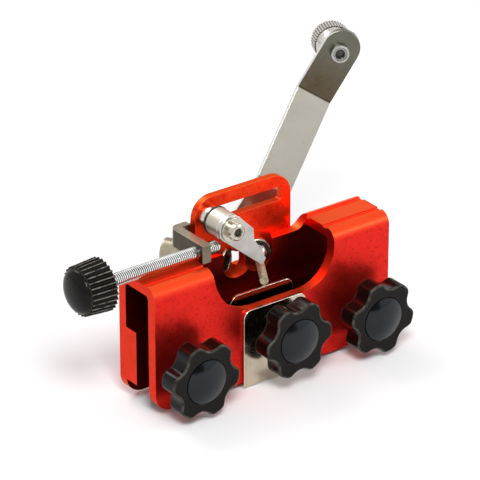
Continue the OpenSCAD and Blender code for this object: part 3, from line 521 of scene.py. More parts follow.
class Shape:
    """A mesh in the making, whose faces carry their rubbing with painted edge highlights, and
    their tone of painted light and shade.
    """

    def __init__(self) -> None:
        """Starts empty."""
        self.mesh = bmesh.new()
        self.find_layers()

    def find_layers(self) -> None:
        """Looks up the mesh's own layers again, or makes them."""
        layers = self.mesh.faces.layers.float
        for name in ("wear_and_highlight", "tone"):
            if not layers.get(name):
                layers.new(name)
        self.wear_and_highlight, self.tone = layers["wear_and_highlight"], layers["tone"]

    @classmethod
    def of_node(cls, node: str, flat: float = 0.6) -> "Shape":
        """Copies a CAD node, with its triangles merged into faces.

        Args:
            node: the CAD node's name.
            flat: largest angle, in degrees, that still counts as one face.

        Returns:
            The copied shape.
        """
        shape = cls()
        bm = shape.mesh
        bm.from_mesh(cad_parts[node].data)
        shape.find_layers()
        bmesh.ops.scale(bm, vec=(1 / MM,) * 3, verts=bm.verts)
        bmesh.ops.remove_doubles(bm, verts=bm.verts, dist=0.002)
        bmesh.ops.dissolve_limit(bm, angle_limit=math.radians(flat), verts=bm.verts,
                                 edges=bm.edges, use_dissolve_boundaries=False)
        return shape

    @classmethod
    def spun(cls, line: Profile, steps: int, closed: bool = False,
             climb: float = 0.0) -> "Shape":
        """Spins a line once about Z.

        Args:
            line: radius and height of each point.
            steps: sides of the turn.
            closed: whether the line runs back to its first point, as a ring's does.
            climb: how far the line rises as it turns.

        Returns:
            The skin that the line leaves, not yet merged.
        """
        shape = cls()
        bm = shape.mesh
        points = [bm.verts.new((r, 0, z)) for r, z in line]
        after = points[1:] + points[:1] if closed else points[1:]
        edges = [bm.edges.new(pair) for pair in zip(points, after)]
        bmesh.ops.spin(bm, geom=points + edges, cent=(0, 0, 0), axis=(0, 0, 1),
                       dvec=(0, 0, climb / steps), angle=TURN, steps=steps,
                       use_merge=not climb, use_duplicate=False)
        return shape

    @classmethod
    def lathe(cls, profile: Profile, steps: int = 72, closed: bool = False) -> "Shape":
        """Turns a profile of radius and height about Z, as spun does, and merges it.

        Args:
            profile: radius and height of each point.
            steps: sides of the turned shape.
            closed: whether the profile runs back to its start.

        Returns:
            The turned shape.
        """
        shape = cls.spun(profile, steps, closed)
        bmesh.ops.remove_doubles(shape.mesh, verts=shape.mesh.verts, dist=0.0005)
        return shape.face_outwards()

    @classmethod
    def drum(cls, outline: Callable[[float], float], sides: int, low: float,
             high: float) -> "Shape":
        """Extrudes a round outline along Z.

        Args:
            outline: gives the radius at an angle in radians.
            sides: number of points round the outline.
            low: height of one end.
            high: height of the other end.

        Returns:
            The closed drum.
        """
        shape = cls()
        bm = shape.mesh
        rim = bmesh.ops.create_circle(bm, cap_ends=True, radius=1.0, segments=sides)["verts"]
        for v in rim:
            reach = outline(math.atan2(v.co.y, v.co.x))
            v.co = Vector((v.co.x * reach, v.co.y * reach, low))
        made = bmesh.ops.extrude_face_region(bm, geom=bm.faces[:])
        lifted = [g for g in made["geom"] if isinstance(g, bmesh.types.BMVert)]
        bmesh.ops.translate(bm, vec=(0, 0, high - low), verts=lifted)
        return shape.face_outwards()

    def face_outwards(self) -> "Shape":
        """Makes every face point outwards."""
        bmesh.ops.recalc_face_normals(self.mesh, faces=self.mesh.faces)
        return self

    def end(self, find: Callable) -> bmesh.types.BMFace:
        """Returns a drum's end: min finds the lower one and max the upper one."""
        ends = [f for f in self.mesh.faces if len(f.verts) > 8]
        return find(ends, key=lambda f: f.calc_center_median().z)

    def bevel(self, edges: Sequence[bmesh.types.BMEdge], width: float, segments: int,
              wear_and_highlight: float = 0.0) -> None:
        """Bevels some edges.

        Args:
            edges: the edges.
            width: width of the bevel.
            segments: faces across it.
            wear_and_highlight: how much rubbing and painted edge highlight the new faces take, up
                to 1.
        """
        made = bmesh.ops.bevel(self.mesh, geom=edges, offset=width, offset_type="OFFSET",
                               affect="EDGES", segments=segments, profile=0.5, material=-1,
                               clamp_overlap=True)
        for face in made["faces"]:
            if face.is_valid:
                face[self.wear_and_highlight] = wear_and_highlight

    def break_edges(self, edge: Edge, segments: int = 2, sharper_than: float = 28.0,
                    within: Optional[Callable[[Vector], bool]] = None) -> "Shape":
        """Bevels the sharp edges and marks the new faces for rubbing and painted edge highlights.

        Args:
            edge: width of the bevel.
            segments: faces across it.
            sharper_than: smallest angle, in degrees, that counts as sharp.
            within: tells from an edge's middle whether it is bevelled; every edge if left out.

        Returns:
            The same shape.
        """
        limit = math.radians(sharper_than)
        sharp = [e for e in self.mesh.edges
                 if e.is_manifold and e.calc_face_angle(0.0) > limit
                 and (within is None or within((e.verts[0].co + e.verts[1].co) / 2))]
        self.bevel(sharp, edge.value, segments, 1.0)
        return self

    def step_in(self, radius: float, drop: float) -> None:
        """Insets the lower end to a circle and sets it back.

        Args:
            radius: radius of the new rim.
            drop: how far it lies behind the old one.
        """
        front = self.end(min)
        bmesh.ops.inset_individual(self.mesh, faces=[front], thickness=0.3, depth=0.0)
        for v in front.verts:
            v.co.xy = v.co.xy.normalized() * radius
            v.co.z += drop

    def shade(self, rule: ToneRule) -> "Shape":
        """Marks each face's tone of painted light: 1 takes the finish's painted highlight colour,
        -1 its painted shade colour.

        Args:
            rule: gives the tone from a face's normal and its middle.

        Returns:
            The same shape.
        """
        self.mesh.normal_update()
        for face in self.mesh.faces:
            face[self.tone] = rule(face.normal, face.calc_center_median())
        return self

    def move(self, matrix: Matrix) -> "Shape":
        """Moves the shape by a matrix in millimetres."""
        self.mesh.transform(matrix)
        return self

    def join(self, other: "Shape") -> "Shape":
        """Takes in another shape's faces.

        Args:
            other: the shape that is used up.

        Returns:
            The same shape.
        """
        scratch = bpy.data.meshes.new("scratch")
        other.mesh.to_mesh(scratch)
        self.mesh.from_mesh(scratch)
        self.find_layers()
        other.mesh.free()
        bpy.data.meshes.remove(scratch)
        return self

    def placed(self, name: str, smooth_under: float) -> bpy.types.Object:
        """Makes the finished object, in metres, at the origin.

        Args:
            name: the piece's name.
            smooth_under: largest angle, in degrees, that is shaded smooth.

        Returns:
            The object, linked to the scene.
        """
        bmesh.ops.scale(self.mesh, vec=(MM,) * 3, verts=self.mesh.verts)
        data = bpy.data.meshes.new(name)
        self.mesh.to_mesh(data)
        self.mesh.free()
        data.shade_smooth()
        data.set_sharp_from_angle(angle=math.radians(smooth_under))
        piece = stand(name, data)
        weighted = piece.modifiers.new("even_shading", "WEIGHTED_NORMAL")
        weighted.keep_sharp = True
        weighted.weight = 60
        return piece


def place(origin: Point, z: Point, x: Point) -> Matrix:
    """Returns the place of a local frame, in millimetres.

    Args:
        origin: where it is.
        z: where its Z points.
        x: where its X points.

    Returns:
        The frame's matrix.
    """
    z, x = Vector(z).normalized(), Vector(x).normalized()
    turn = Matrix((x, z.cross(x), z)).transposed().to_4x4()
    return Matrix.Translation(Vector(origin)) @ turn


@dataclass(frozen=True)
class Thread:
    """A screw thread along Z with flat crests and roots."""

    radius: float
    depth: float
    pitch: float
    tooth: Profile = ((0.0, 0.08), (1.0, 0.36), (1.0, 0.64), (0.0, 0.92))
    steps: int = 40

    @property
    def core(self) -> float:
        """Radius of the plain rod that fills the thread."""
        return self.radius - self.depth - 0.1

    def around(self, profile: Profile, low: float, high: float) -> Shape:
        """Cuts the thread on a plain rod: a toothed line turns once and climbs one pitch.

        Args:
            profile: radius and height of the plain rod's points.
            low: height where the thread starts.
            high: height that the thread stays under.

        Returns:
            The threaded rod, with painted highlights on its crests and painted shade in its roots.
        """
        root = self.radius - self.depth
        turns = int((high - low) / self.pitch) - 1
        shape = Shape.spun([(root + out * self.depth, low + (turn + share) * self.pitch)
                            for turn in range(turns) for out, share in self.tooth],
                           self.steps, climb=self.pitch)
        bm = shape.mesh
        bmesh.ops.remove_doubles(bm, verts=bm.verts, dist=0.004)
        bmesh.ops.holes_fill(bm, edges=[e for e in bm.edges if e.is_boundary], sides=0)
        shape.face_outwards()
        # Painted highlights on the crests and painted shade in the roots.
        slack = self.depth * 0.05
        for face in bm.faces:
            reach = [v.co.xy.length for v in face.verts]
            if min(reach) > self.radius - slack:
                face[shape.tone] = 1.0
            elif max(reach) < root + slack:
                face[shape.tone] = -1.0
        return Shape.lathe(profile, self.steps).join(shape)


M6 = Thread(radius=3.0, depth=0.5, pitch=1.0)


@dataclass
class Piece:
    """One finished piece, which stands for one CAD node.

    A piece without a shape of its own is a copy of its node with broken edges.
    """

    node: str
    finish: Finish
    body: str
    slot: str
    edge: Edge = Edge.FINE
    segments: int = 2
    rule: Optional[ToneRule] = None
    name: str = ""
    shape: Optional[Shape] = None
    smooth_under: float = 34.0

    def dressed(self) -> Shape:
        """Copies the CAD node, sets its tones of painted light and shade and breaks its edges.

        Returns:
            The dressed copy.
        """
        shape = Shape.of_node(self.node)
        if self.rule:
            shape.shade(self.rule)
        return shape.break_edges(self.edge, self.segments)

    def build(self) -> None:
        """Makes the piece, hands it to its body and reports it."""
        name = self.name or self.node + "_dressed"
        made = (self.shape or self.dressed()).placed(name, self.smooth_under)
        made.data.materials.append(self.finish.material())
        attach(made, self.body)
        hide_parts(self.node)
        LOG.info("%s rides on %s", name, self.body)


# Sub-assemblies


@dataclass
class SocketScrew:
    """A cap screw with a hexagon socket, along Z from its head to its tip."""

    head_front: float
    head_back: float
    tip: float
    head_radius: float
    shaft_radius: float
    socket_radius: float
    socket_depth: float
    rim_groove: float = 0.0
    groove_end: tuple[float, float] = (0.68, 0.74)
    chamfer: float = 0.45

    def shape(self) -> Shape:
        """Builds the screw.

        Returns:
            The screw, with a tone on each face.
        """
        z0, z1, r = self.head_front, self.head_back, self.head_radius
        hole, shaft, groove = self.socket_radius, self.shaft_radius, self.rim_groove
        floor = z0 + self.socket_depth
        inner, outer = (r * share for share in self.groove_end)
        face = [(hole + 0.35, z0 + groove)]
        if groove:
            face += [(inner, z0 + groove), (outer, z0)]
        screw = Shape.lathe(
            [(0.0, floor), (hole, floor), (hole, z0 + groove + 0.3)] + face +
            [(r - self.chamfer, z0), (r - 0.1, z0 + self.chamfer * 0.6),
             (r, z0 + self.chamfer * 1.4), (r, z1 - 0.15), (r - 0.15, z1), (shaft, z1),
             (shaft, self.tip - 0.5), (shaft - 0.5, self.tip), (0.0, self.tip)])
        sixth = TURN / 6
        flat = hole * math.cos(sixth / 2)
        for v in screw.mesh.verts:
            spread = v.co.xy
            if 0.01 < spread.length < hole + 0.01 and v.co.z < z1:
                turn = math.atan2(spread.y, spread.x) % sixth - sixth / 2
                v.co.xy = spread.normalized() * flat / math.cos(turn)

        def tone(normal: Vector, middle: Vector) -> float:
            """Paints shade in the socket, and a little in the groove round it.

            Args:
                normal: the face's normal.
                middle: the face's middle.

            Returns:
                The face's tone.
            """
            spread = middle.xy.length
            if spread < hole + 0.3 and z0 + groove + 0.05 < middle.z < floor + 0.1:
                return -1.0
            return -0.3 if groove and spread < inner + 0.04 * r and middle.z < floor + 0.1 else 0.0

        return screw.shade(tone)


@dataclass
class ClampBody:
    """The red body with its slotted plate, bracket and sleeves."""

    body: str = "frame"
    top: float = 60.0
    inner_wall: float = 8.6
    channel_top: float = 56.0
    end_from: float = 64.0
    plate_rounded_from: float = 61.0
    slot_low: float = 67.0
    slot_high: float = 76.5

    def body_painted_light_and_shade(self, normal: Vector, middle: Vector) -> float:
        """Paints light on the upward faces, a little on the ends, and paints shade in the channel.

        Args:
            normal: the face's normal.
            middle: the face's middle.

        Returns:
            The face's tone.
        """
        if abs(normal.x) > 0.9 and abs(middle.x) > self.end_from:
            return 0.15
        if abs(middle.y) < self.inner_wall and middle.z < self.channel_top:
            return -0.9
        return max(0.0, normal.z)

    def plate_painted_light_and_shade(self, normal: Vector, middle: Vector) -> float:
        """Paints light on the plate's upward faces and, more the higher they stand, on all its
        faces; paints shade on the slot's edges.

        Args:
            normal: the face's normal.
            middle: the face's middle.

        Returns:
            The face's tone.
        """
        if self.slot_low < middle.z < self.slot_high and abs(normal.z) > 0.5:
            return -0.6
        return max(0.0, normal.z) + 0.3 * max(0.0, (middle.z - self.top) / 20.0)

    def bracket_painted_shade(self, normal: Vector, middle: Vector) -> float:
        """Paints shade on the bracket's left side and, less, on its front."""
        return -0.95 if normal.x < -0.3 else -0.4 * max(0.0, -normal.y)

    def sleeve_painted_shade(self, normal: Vector, middle: Vector) -> float:
        """Paints shade on the sleeves' front ends."""
        return -1.0 if normal.y < -0.75 and abs(normal.z) < 0.3 else 0.0

    def plate(self) -> Shape:
        """Builds the plate, well rounded where it stands above the body.

        Returns:
            The plate.
        """
        shape = Shape.of_node("slotted_plate")
        # The rounded rim's bevel faces take rubbing and painted edge highlights.
        shape.break_edges(Edge.ROUNDED, 4, within=lambda p: p.z > self.plate_rounded_from)
        shape.break_edges(Edge.FINE, 2, within=lambda p: p.z < self.plate_rounded_from)
        return shape.shade(self.plate_painted_light_and_shade)

    def pieces(self) -> list[Piece]:
        """Lists the fixed pieces.

        Returns:
            The pieces, in order.
        """
        body = self.body
        return [
            Piece("clamp_body", RED, body, "red_anodised", Edge.EASED, 3, self.body_painted_light_and_shade),
            Piece("slotted_plate", RED_PLATE, body, "red_anodised", shape=self.plate()),
            Piece("adjuster_bracket", BRACKET, body, "bracket_nickel", Edge.EASED, 3,
                  self.bracket_painted_shade),
            Piece("bit_sleeve", SLEEVE, body, "sleeve_steel", rule=self.sleeve_painted_shade),
            Piece("spare_sleeve", SLEEVE, body, "sleeve_steel", rule=self.sleeve_painted_shade),
            Piece("plate_screws", BLACKENED, body, "screw_black", Edge.CRISP),
            Piece("bracket_screws", BLACKENED, body, "screw_black", Edge.CRISP),
        ]


@dataclass
class StarKnob:
    """One six-lobed knob with its domed cap and threaded stud, along Z towards the body."""

    side: str
    centre: tuple[float, float]
    neck_back: float
    turned: float
    stud_shoulder: float
    stud_tip: float
    radius: float = 18.0
    lobe_radius: float = 5.94
    lobe_place: float = 12.42
    valley_radius: float = 6.84
    valley_place: float = 21.42
    hub_radius: float = 15.48
    lobes: int = 6
    lobe_sides: int = 28
    easing: tuple[float, ...] = (-3.0, -1.5, 0.0, 1.5, 3.0)
    thickness: float = 9.5
    rim_bevel: float = 0.9
    dish: float = 0.12
    neck_radius: float = 7.0
    neck_length: float = 2.5
    cap_radius: float = 10.25
    cap_rise: float = 2.2
    cap_seat: float = 1.2
    seat_steps: tuple[tuple[float, float], ...] = ((0.5, 0.0), (0.1, 0.35), (-0.6, 0.0))
    cap_steps: int = 9
    thread: Thread = M6
    tip_radius: float = 2.0

    def reach(self, angle: float) -> float:
        """Returns the outline's radius at an angle: round lobes with round valleys between.

        Args:
            angle: the angle in radians.

        Returns:
            The radius.
        """
        step = TURN / self.lobes
        off = abs((angle - math.radians(self.turned) + step / 2) % step - step / 2)
        side = self.lobe_radius ** 2 - (self.lobe_place * math.sin(off)) ** 2
        lobe = self.lobe_place * math.cos(off) + math.sqrt(side) if side > 0 else 0.0
        result = min(self.radius, max(lobe, self.hub_radius))
        off = step / 2 - off
        side = self.valley_radius ** 2 - (self.valley_place * math.sin(off)) ** 2
        if side > 0:
            result = min(result, self.valley_place * math.cos(off) - math.sqrt(side))
        return result

    def outline(self, angle: float) -> float:
        """Returns the outline's radius with its corners eased, over a few degrees."""
        return sum(self.reach(angle + math.radians(a)) for a in self.easing) / len(self.easing)

    def head(self) -> Shape:
        """Builds the lobed head and its neck.

        Returns:
            The head.
        """
        back, neck, end = self.neck_back - self.neck_length, self.neck_radius, self.neck_back
        shape = Shape.drum(self.outline, self.lobes * self.lobe_sides, back - self.thickness, back)
        rims = list(shape.end(min).edges) + list(shape.end(max).edges)
        # The rims' bevel faces take rubbing and painted edge highlights.
        shape.bevel(rims, self.rim_bevel, 4, 1.0)
        bmesh.ops.inset_individual(shape.mesh, faces=[shape.end(min)], thickness=1.0,
                                   depth=-self.dish)
        for wider, drop in self.seat_steps:
            shape.step_in(self.cap_radius + wider, drop)
        return shape.join(Shape.lathe([
            (0.0, back - 0.3), (neck + 0.5, back - 0.3), (neck, back + 0.3), (neck, end - 0.4),
            (neck - 0.4, end), (0.0, end)]))

    def cap(self) -> Shape:
        """Builds the domed cap in the middle of the face.

        Returns:
            The cap.
        """
        face = self.neck_back - self.neck_length - self.thickness
        r, rise = self.cap_radius, self.cap_rise
        ball = (r * r + rise * rise) / (2 * rise)
        step = math.asin(r / ball) / self.cap_steps
        dome = [(ball * math.sin(step * i), face - rise + ball * (1 - math.cos(step * i)))
                for i in range(self.cap_steps + 1)]
        seat = face + self.cap_seat
        return Shape.lathe(dome + [(r, seat), (0.0, seat)], ROUND)

    def stud(self) -> Shape:
        """Builds the threaded stud with its slim tip.

        Returns:
            The stud.
        """
        start, shoulder = self.neck_back - 1.0, self.stud_shoulder
        core, tip = self.thread.core, self.tip_radius
        return self.thread.around([
            (0.0, start), (core, start), (core, shoulder - 0.3), (core - 0.3, shoulder),
            (tip, shoulder), (tip, self.stud_tip), (0.0, self.stud_tip)], start + 0.3, shoulder)

    def pieces(self) -> list[Piece]:
        """Lists the knob's pieces.

        Returns:
            The pieces, in order.
        """
        side, body = self.side, self.side + "_knob_body"
        axis = place((self.centre[0], 0.0, self.centre[1]), ALONG_Y, ALONG_X)
        return [
            Piece(side + "_knob", BLACK, body, "black_plastic", name=side + "_star_head",
                  shape=self.head().move(axis)),
            Piece(side + "_knob_cap", CAP, body, "black_plastic", name=side + "_domed_cap",
                  shape=self.cap().move(axis)),
            Piece(side + "_stud", SATIN, body, "pin_steel", name=side + "_threaded_stud",
                  shape=self.stud().move(axis), smooth_under=50.0),
        ]


@dataclass
class Clamps:
    """The three star knobs with their pads, clip and ring."""

    knobs: tuple[StarKnob, ...] = (
        StarKnob("left", centre=(-49.3, 18.0), neck_back=-18.1, turned=-51.0,
                 stud_shoulder=-6.85, stud_tip=-4.85),
        StarKnob("right", centre=(49.3, 18.0), neck_back=-18.1, turned=-45.0,
                 stud_shoulder=-6.85, stud_tip=-4.85),
        StarKnob("centre", centre=(1.0, 22.5), neck_back=-19.1, turned=-2.0,
                 stud_shoulder=-8.5, stud_tip=-3.85),
    )
    clip_inner_from: float = -12.0

    def clip_painted_shade(self, normal: Vector, middle: Vector) -> float:
        """Paints shade on the clip's leg that stands inside the channel."""
        return -1.0 if middle.y > self.clip_inner_from and abs(normal.y) > 0.7 else 0.0

    def pieces(self) -> list[Piece]:
        """Lists the clamping pieces.

        Returns:
            The pieces, in order.
        """
        return [piece for knob in self.knobs for piece in knob.pieces()] + [
            Piece("left_pad", SATIN, "left_pad_body", "pin_steel"),
            Piece("right_pad", SATIN, "right_pad_body", "pin_steel"),
            Piece("guide_clip", CLIP, "clip_body", "crank_steel", rule=self.clip_painted_shade),
            Piece("clip_ring", BLACKENED, "centre_knob_body", "screw_black", Edge.CRISP),
        ]


@dataclass
class Adjuster:
    """The long screw with its fluted thumb knob, along Z towards the screw's tip."""

    body: str = "adjuster"
    tip: Point = (-20.327, 0.7, 63.5)
    thread: Thread = M6
    showing: float = 61.673
    gripped: float = 8.0
    knob_radius: float = 12.25
    knob_length: float = 13.2
    back_bevel: float = 0.5
    bevel_wear_and_highlight: float = 0.15
    taper: float = 0.9
    dome: float = 3.6
    dome_radius: float = 10.15
    dome_seat: float = 2.0
    dome_steps: int = 16
    rib_chamfer: float = 0.8
    flutes: int = 28
    flute_sides: int = 10
    flute_depth: float = 1.05

    def screw(self) -> Shape:
        """Builds the threaded rod.

        Returns:
            The rod.
        """
        start = -self.showing - self.gripped
        core = self.thread.core
        return self.thread.around([(0.0, start + 0.5), (core, start + 0.5), (core, -0.9),
                                   (core - 0.6, 0.0), (0.0, 0.0)], start, -0.3)

    def outline(self, angle: float) -> float:
        """Returns the knob's radius at an angle: narrow ribs between wide flutes."""
        wave = 0.5 + 0.5 * math.cos(self.flutes * angle)
        return self.knob_radius - self.flute_depth * (1 - wave ** 1.5)

    def thumb_knob(self) -> Shape:
        """Builds the fluted knob with its smooth dome.

        Returns:
            The knob.
        """
        right = -self.showing
        left = right - self.knob_length
        shape = Shape.drum(self.outline, self.flutes * self.flute_sides, left, right)
        # The rib crests take painted highlights, through the edge layer.
        crest = self.knob_radius - self.flute_depth * 0.3
        for face in shape.mesh.faces:
            if face.calc_center_median().xy.length > crest and len(face.verts) == 4:
                face[shape.wear_and_highlight] = 1.0
        for find, width in ((min, self.rib_chamfer), (max, self.back_bevel)):
            shape.bevel(list(shape.end(find).edges), width, 3, self.bevel_wear_and_highlight)
        for v in shape.mesh.verts:
            v.co.xy *= 1 - self.taper / self.knob_radius * (right - v.co.z) / self.knob_length
        rim, seat = self.dome_radius, left + self.dome_seat
        angles = [TURN / 4 * i / self.dome_steps for i in range(self.dome_steps + 1)]
        dome = [(rim * math.sin(a) ** 0.9, left + 0.3 - (self.dome + 0.3) * math.cos(a))
                for a in angles]
        return shape.join(Shape.lathe(dome + [(rim, seat), (0.0, seat)], ROUND))

    def pieces(self) -> list[Piece]:
        """Lists the screw and the knob.

        Returns:
            The pieces, in order.
        """
        axis = place(self.tip, ALONG_X, ALONG_Y)
        return [
            Piece("adjuster_screw", THREAD, self.body, "bright_steel", smooth_under=50.0,
                  name="adjuster_threaded_rod", shape=self.screw().move(axis)),
            Piece("thumb_knob", RIBBED, self.body, "black_plastic", name="thumb_knob_fluted",
                  shape=self.thumb_knob().move(axis)),
        ]


@dataclass
class ToothStop:
    """The pawl and the stack of pieces on its pin."""

    body: str = "stop_carriage"
    pin_place: Point = (-16.0, 0.0, 71.6025)
    pin: SocketScrew = field(default_factory=lambda: SocketScrew(
        head_front=-8.2, head_back=-4.2, tip=22.1, head_radius=3.9, shaft_radius=2.0,
        socket_radius=2.02, socket_depth=2.2, chamfer=0.8))

    def pieces(self) -> list[Piece]:
        """Lists the pin, the stack on it and the pawl.

        Returns:
            The pieces, in order.
        """
        body, pin = self.body, self.pin.shape().move(place(self.pin_place, ALONG_Y, ALONG_X))
        return [
            Piece("pivot_pin", STEEL, body, "pin_steel", shape=pin),
            Piece("pin_washer", STEEL, body, "pin_steel", Edge.CRISP),
            Piece("spacer_bush", BUSH, body, "satin_steel"),
            Piece("bush_shim", BLACKENED, body, "screw_black", Edge.CRISP),
            Piece("slot_roller", ROLLER, body, "bright_steel"),
            Piece("rear_washer", SATIN, body, "pin_steel", Edge.CRISP),
            Piece("rear_nut", CHROME, body, "bright_steel"),
            Piece("pawl", SATIN, "stop_pawl", "satin_steel"),
        ]


@dataclass
class Crank:
    """The bit, the bent arm and the knurled grip."""

    body: str = "crank"
    origin: Point = (1.75, -1.4, 46.3)
    slant: float = 31.0
    turned: float = 31.5
    end_lean: float = 7.0
    middle: float = 49.4
    bend: float = 60.80
    painted_reflection_bands: tuple[tuple[float, float, Colour], ...] = (
        (-0.2, 0.3, (0.080, 0.058, 0.033)),
        (5.0, 24.0, (0.118, 0.116, 0.088)),
    )
    grip_reach: tuple[float, float] = (83.229, 25.554)
    screw: SocketScrew = field(default_factory=lambda: SocketScrew(
        head_front=-4.2, head_back=-1.4, tip=18.4, head_radius=4.3, shaft_radius=2.5,
        socket_radius=1.94, socket_depth=1.54, rim_groove=0.35, chamfer=0.3))
    head_radius: float = 2.0
    head_low: float = -12.0
    head_high: float = 12.0
    head_rings: int = 110
    head_sides: int = 40
    head_bumps: tuple[tuple[float, float], ...] = ((2.6, 0.05), (6.0, 0.03))
    head_sink: float = 0.07
    grip_start: float = 2.3
    cone: float = 8.0
    knurl: float = 10.8
    knurl_inset: float = 0.7
    knurl_bevel: float = 0.35
    core_depth: float = 0.62
    neck_radius: float = 4.8
    grip_radius: float = 9.25
    ridges: int = 44
    ridge_sides: int = 8
    ridge_depth: float = 0.4
    bore: float = 2.55
    recess_radius: float = 5.2
    recess: float = 7.0

    def back(self) -> Vector:
        """Returns the direction of the bit's axis, which points backwards."""
        return Vector((math.sin(math.radians(self.slant)), math.cos(math.radians(self.slant)), 0))

    def across(self) -> Vector:
        """Returns the level direction that is square to the bit."""
        return self.back().cross(Vector((0, 0, 1)))

    def arm(self) -> Vector:
        """Returns the direction that the arm runs in, square to the bit."""
        turn = math.radians(self.turned)
        return self.across() * math.sin(turn) + Vector((0, 0, math.cos(turn)))

    def grip_axis(self) -> Matrix:
        """Returns the grip screw's place, from the middle of the strip backwards.

        Returns:
            The place's matrix.
        """
        back, arm = self.back(), self.arm()
        out, beyond = self.grip_reach
        centre = Vector(self.origin) + arm * out + back * (self.middle + beyond)
        lean = math.radians(self.end_lean)
        return place(centre, back * math.cos(lean) - arm * math.sin(lean),
                     arm * math.cos(lean) + back * math.sin(lean))

    def grinding_head(self) -> Shape:
        """Builds the gritty head.

        Returns:
            The head.
        """
        shape = Shape()
        bm = shape.mesh
        low, high, r = self.head_low, self.head_high, self.head_radius
        bmesh.ops.create_cone(bm, cap_ends=True, segments=self.head_sides, radius1=r,
                              radius2=r, depth=high - low)
        bmesh.ops.translate(bm, vec=(0, 0, (low + high) / 2), verts=bm.verts)
        walls = [e for e in bm.edges if abs(e.verts[0].co.z - e.verts[1].co.z) > 1]
        bmesh.ops.subdivide_edges(bm, edges=walls, cuts=self.head_rings, use_grid_fill=True)
        for v in bm.verts:
            bumps = sum(noise.noise(v.co * fine) * depth for fine, depth in self.head_bumps)
            if v.co.xy.length > 0.5:
                v.co.xy += v.co.xy.normalized() * (bumps - self.head_sink)
        return shape

    def grip_outline(self, angle: float) -> float:
        """Returns the knurl's radius at an angle."""
        wave = 0.5 + 0.5 * math.cos(self.ridges * angle)
        return self.grip_radius - self.ridge_depth * (1 - wave ** 0.7)

    def grip(self) -> Shape:
        """Builds the grip: a cone that runs into a straight knurl.

        Returns:
            The grip.
        """
        start, knurled = self.grip_start, self.grip_start + self.cone
        end = knurled + self.knurl
        core, inset = self.grip_radius - self.core_depth, self.knurl_inset
        knurl = Shape.drum(self.grip_outline, self.ridges * self.ridge_sides, knurled + inset,
                           end - inset)
        for find in (min, max):
            knurl.bevel(list(knurl.end(find).edges), self.knurl_bevel, 2)
        bmesh.ops.delete(knurl.mesh, geom=[knurl.end(min), knurl.end(max)], context="FACES_ONLY")
        for v in knurl.mesh.verts:
            if v.is_boundary:
                v.co.xy = v.co.xy.normalized() * (core - 0.1)
        # Painted shade in the knurl's valleys.
        crest = self.grip_radius - self.ridge_depth * 0.45
        knurl.shade(lambda normal, middle: 0.0 if middle.xy.length > crest else -1.0)
        neck, mouth, floor = self.neck_radius, self.recess_radius, end - self.recess
        return Shape.lathe([
            (self.bore, start), (neck - 0.3, start), (neck, start + 0.3), (core, knurled),
            (core, end - 0.5), (core - 0.5, end), (mouth + 0.3, end), (mouth, end - 0.3),
            (mouth, floor), (self.bore, floor)], ROUND, closed=True).join(knurl)

    def arm_painted_highlight(self, normal: Vector, middle: Vector) -> float:
        """Paints a highlight on the sheared sides of the strip."""
        return abs(normal.dot(self.arm().cross(self.back()))) ** 8

    def arm_finish(self) -> MetalFinish:
        """Returns the arm's steel, with painted reflection beyond its upper bend: dark brown,
        turning olive grey further out.

        Returns:
            The arm's finish.
        """
        arm = self.arm()
        start = Vector(self.origin).dot(arm) + self.bend

        def painted_reflection(sheet: Sheet, spot: Socket, colour: Paint) -> Paint:
            """Paints reflection beyond the upper bend: dark brown, turning olive grey further out.

            Args:
                sheet: the material's sheet.
                spot: the object's own coordinates.
                colour: the colour so far.

            Returns:
                The colour with the painted reflection.
            """
            reach = sheet.dot(spot, tuple(arm))
            # Each band paints reflection over the steel.
            for low, high, shade in self.painted_reflection_bands:
                mask = sheet.between(reach, 0, 1, (start + low) * MM, (start + high) * MM)
                colour = sheet.mix(colour, shade, mask)
            return colour

        # The pale colour for marked faces is a painted highlight on the strip's sheared sides.
        return MetalFinish("crank_strip_steel", (0.55, 0.52, 0.45), (0.50, 0.47, 0.40),
                           (0.66, 0.64, 0.59), rough=(0.24, 0.34), grain_scale=800.0,
                           patch_scale=45.0, wear_and_highlight=0.3, painted_highlight=(0.80, 0.79, 0.76), painted_reflection=painted_reflection)

    def pieces(self) -> list[Piece]:
        """Lists the crank's pieces.

        Returns:
            The pieces, in order.
        """
        body, grip = self.body, self.grip_axis()
        bit = place(self.origin, self.back(), self.across())
        return [
            Piece("grinding_head", GRIT, body, "abrasive_gold", name="abrasive_head",
                  shape=self.grinding_head().move(bit), smooth_under=60.0),
            Piece("grip", KNURLED, "crank_grip", "satin_steel", name="knurled_grip",
                  shape=self.grip().move(grip), smooth_under=40.0),
            Piece("grip_screw", HEAD, body, "bright_steel", shape=self.screw.shape().move(grip)),
            Piece("bit_shank", GROUND, body, "bit_steel"),
            Piece("crank_arm", self.arm_finish(), body, "crank_steel", rule=self.arm_painted_highlight),
            Piece("crank_nut", CHROME, body, "bright_steel"),
            Piece("grip_washer", CHROME, body, "bright_steel", Edge.CRISP),
            Piece("grip_nut", CHROME, body, "bright_steel"),
            Piece("thrust_washer", CHROME, "thrust_body", "bright_steel", Edge.CRISP),
        ]


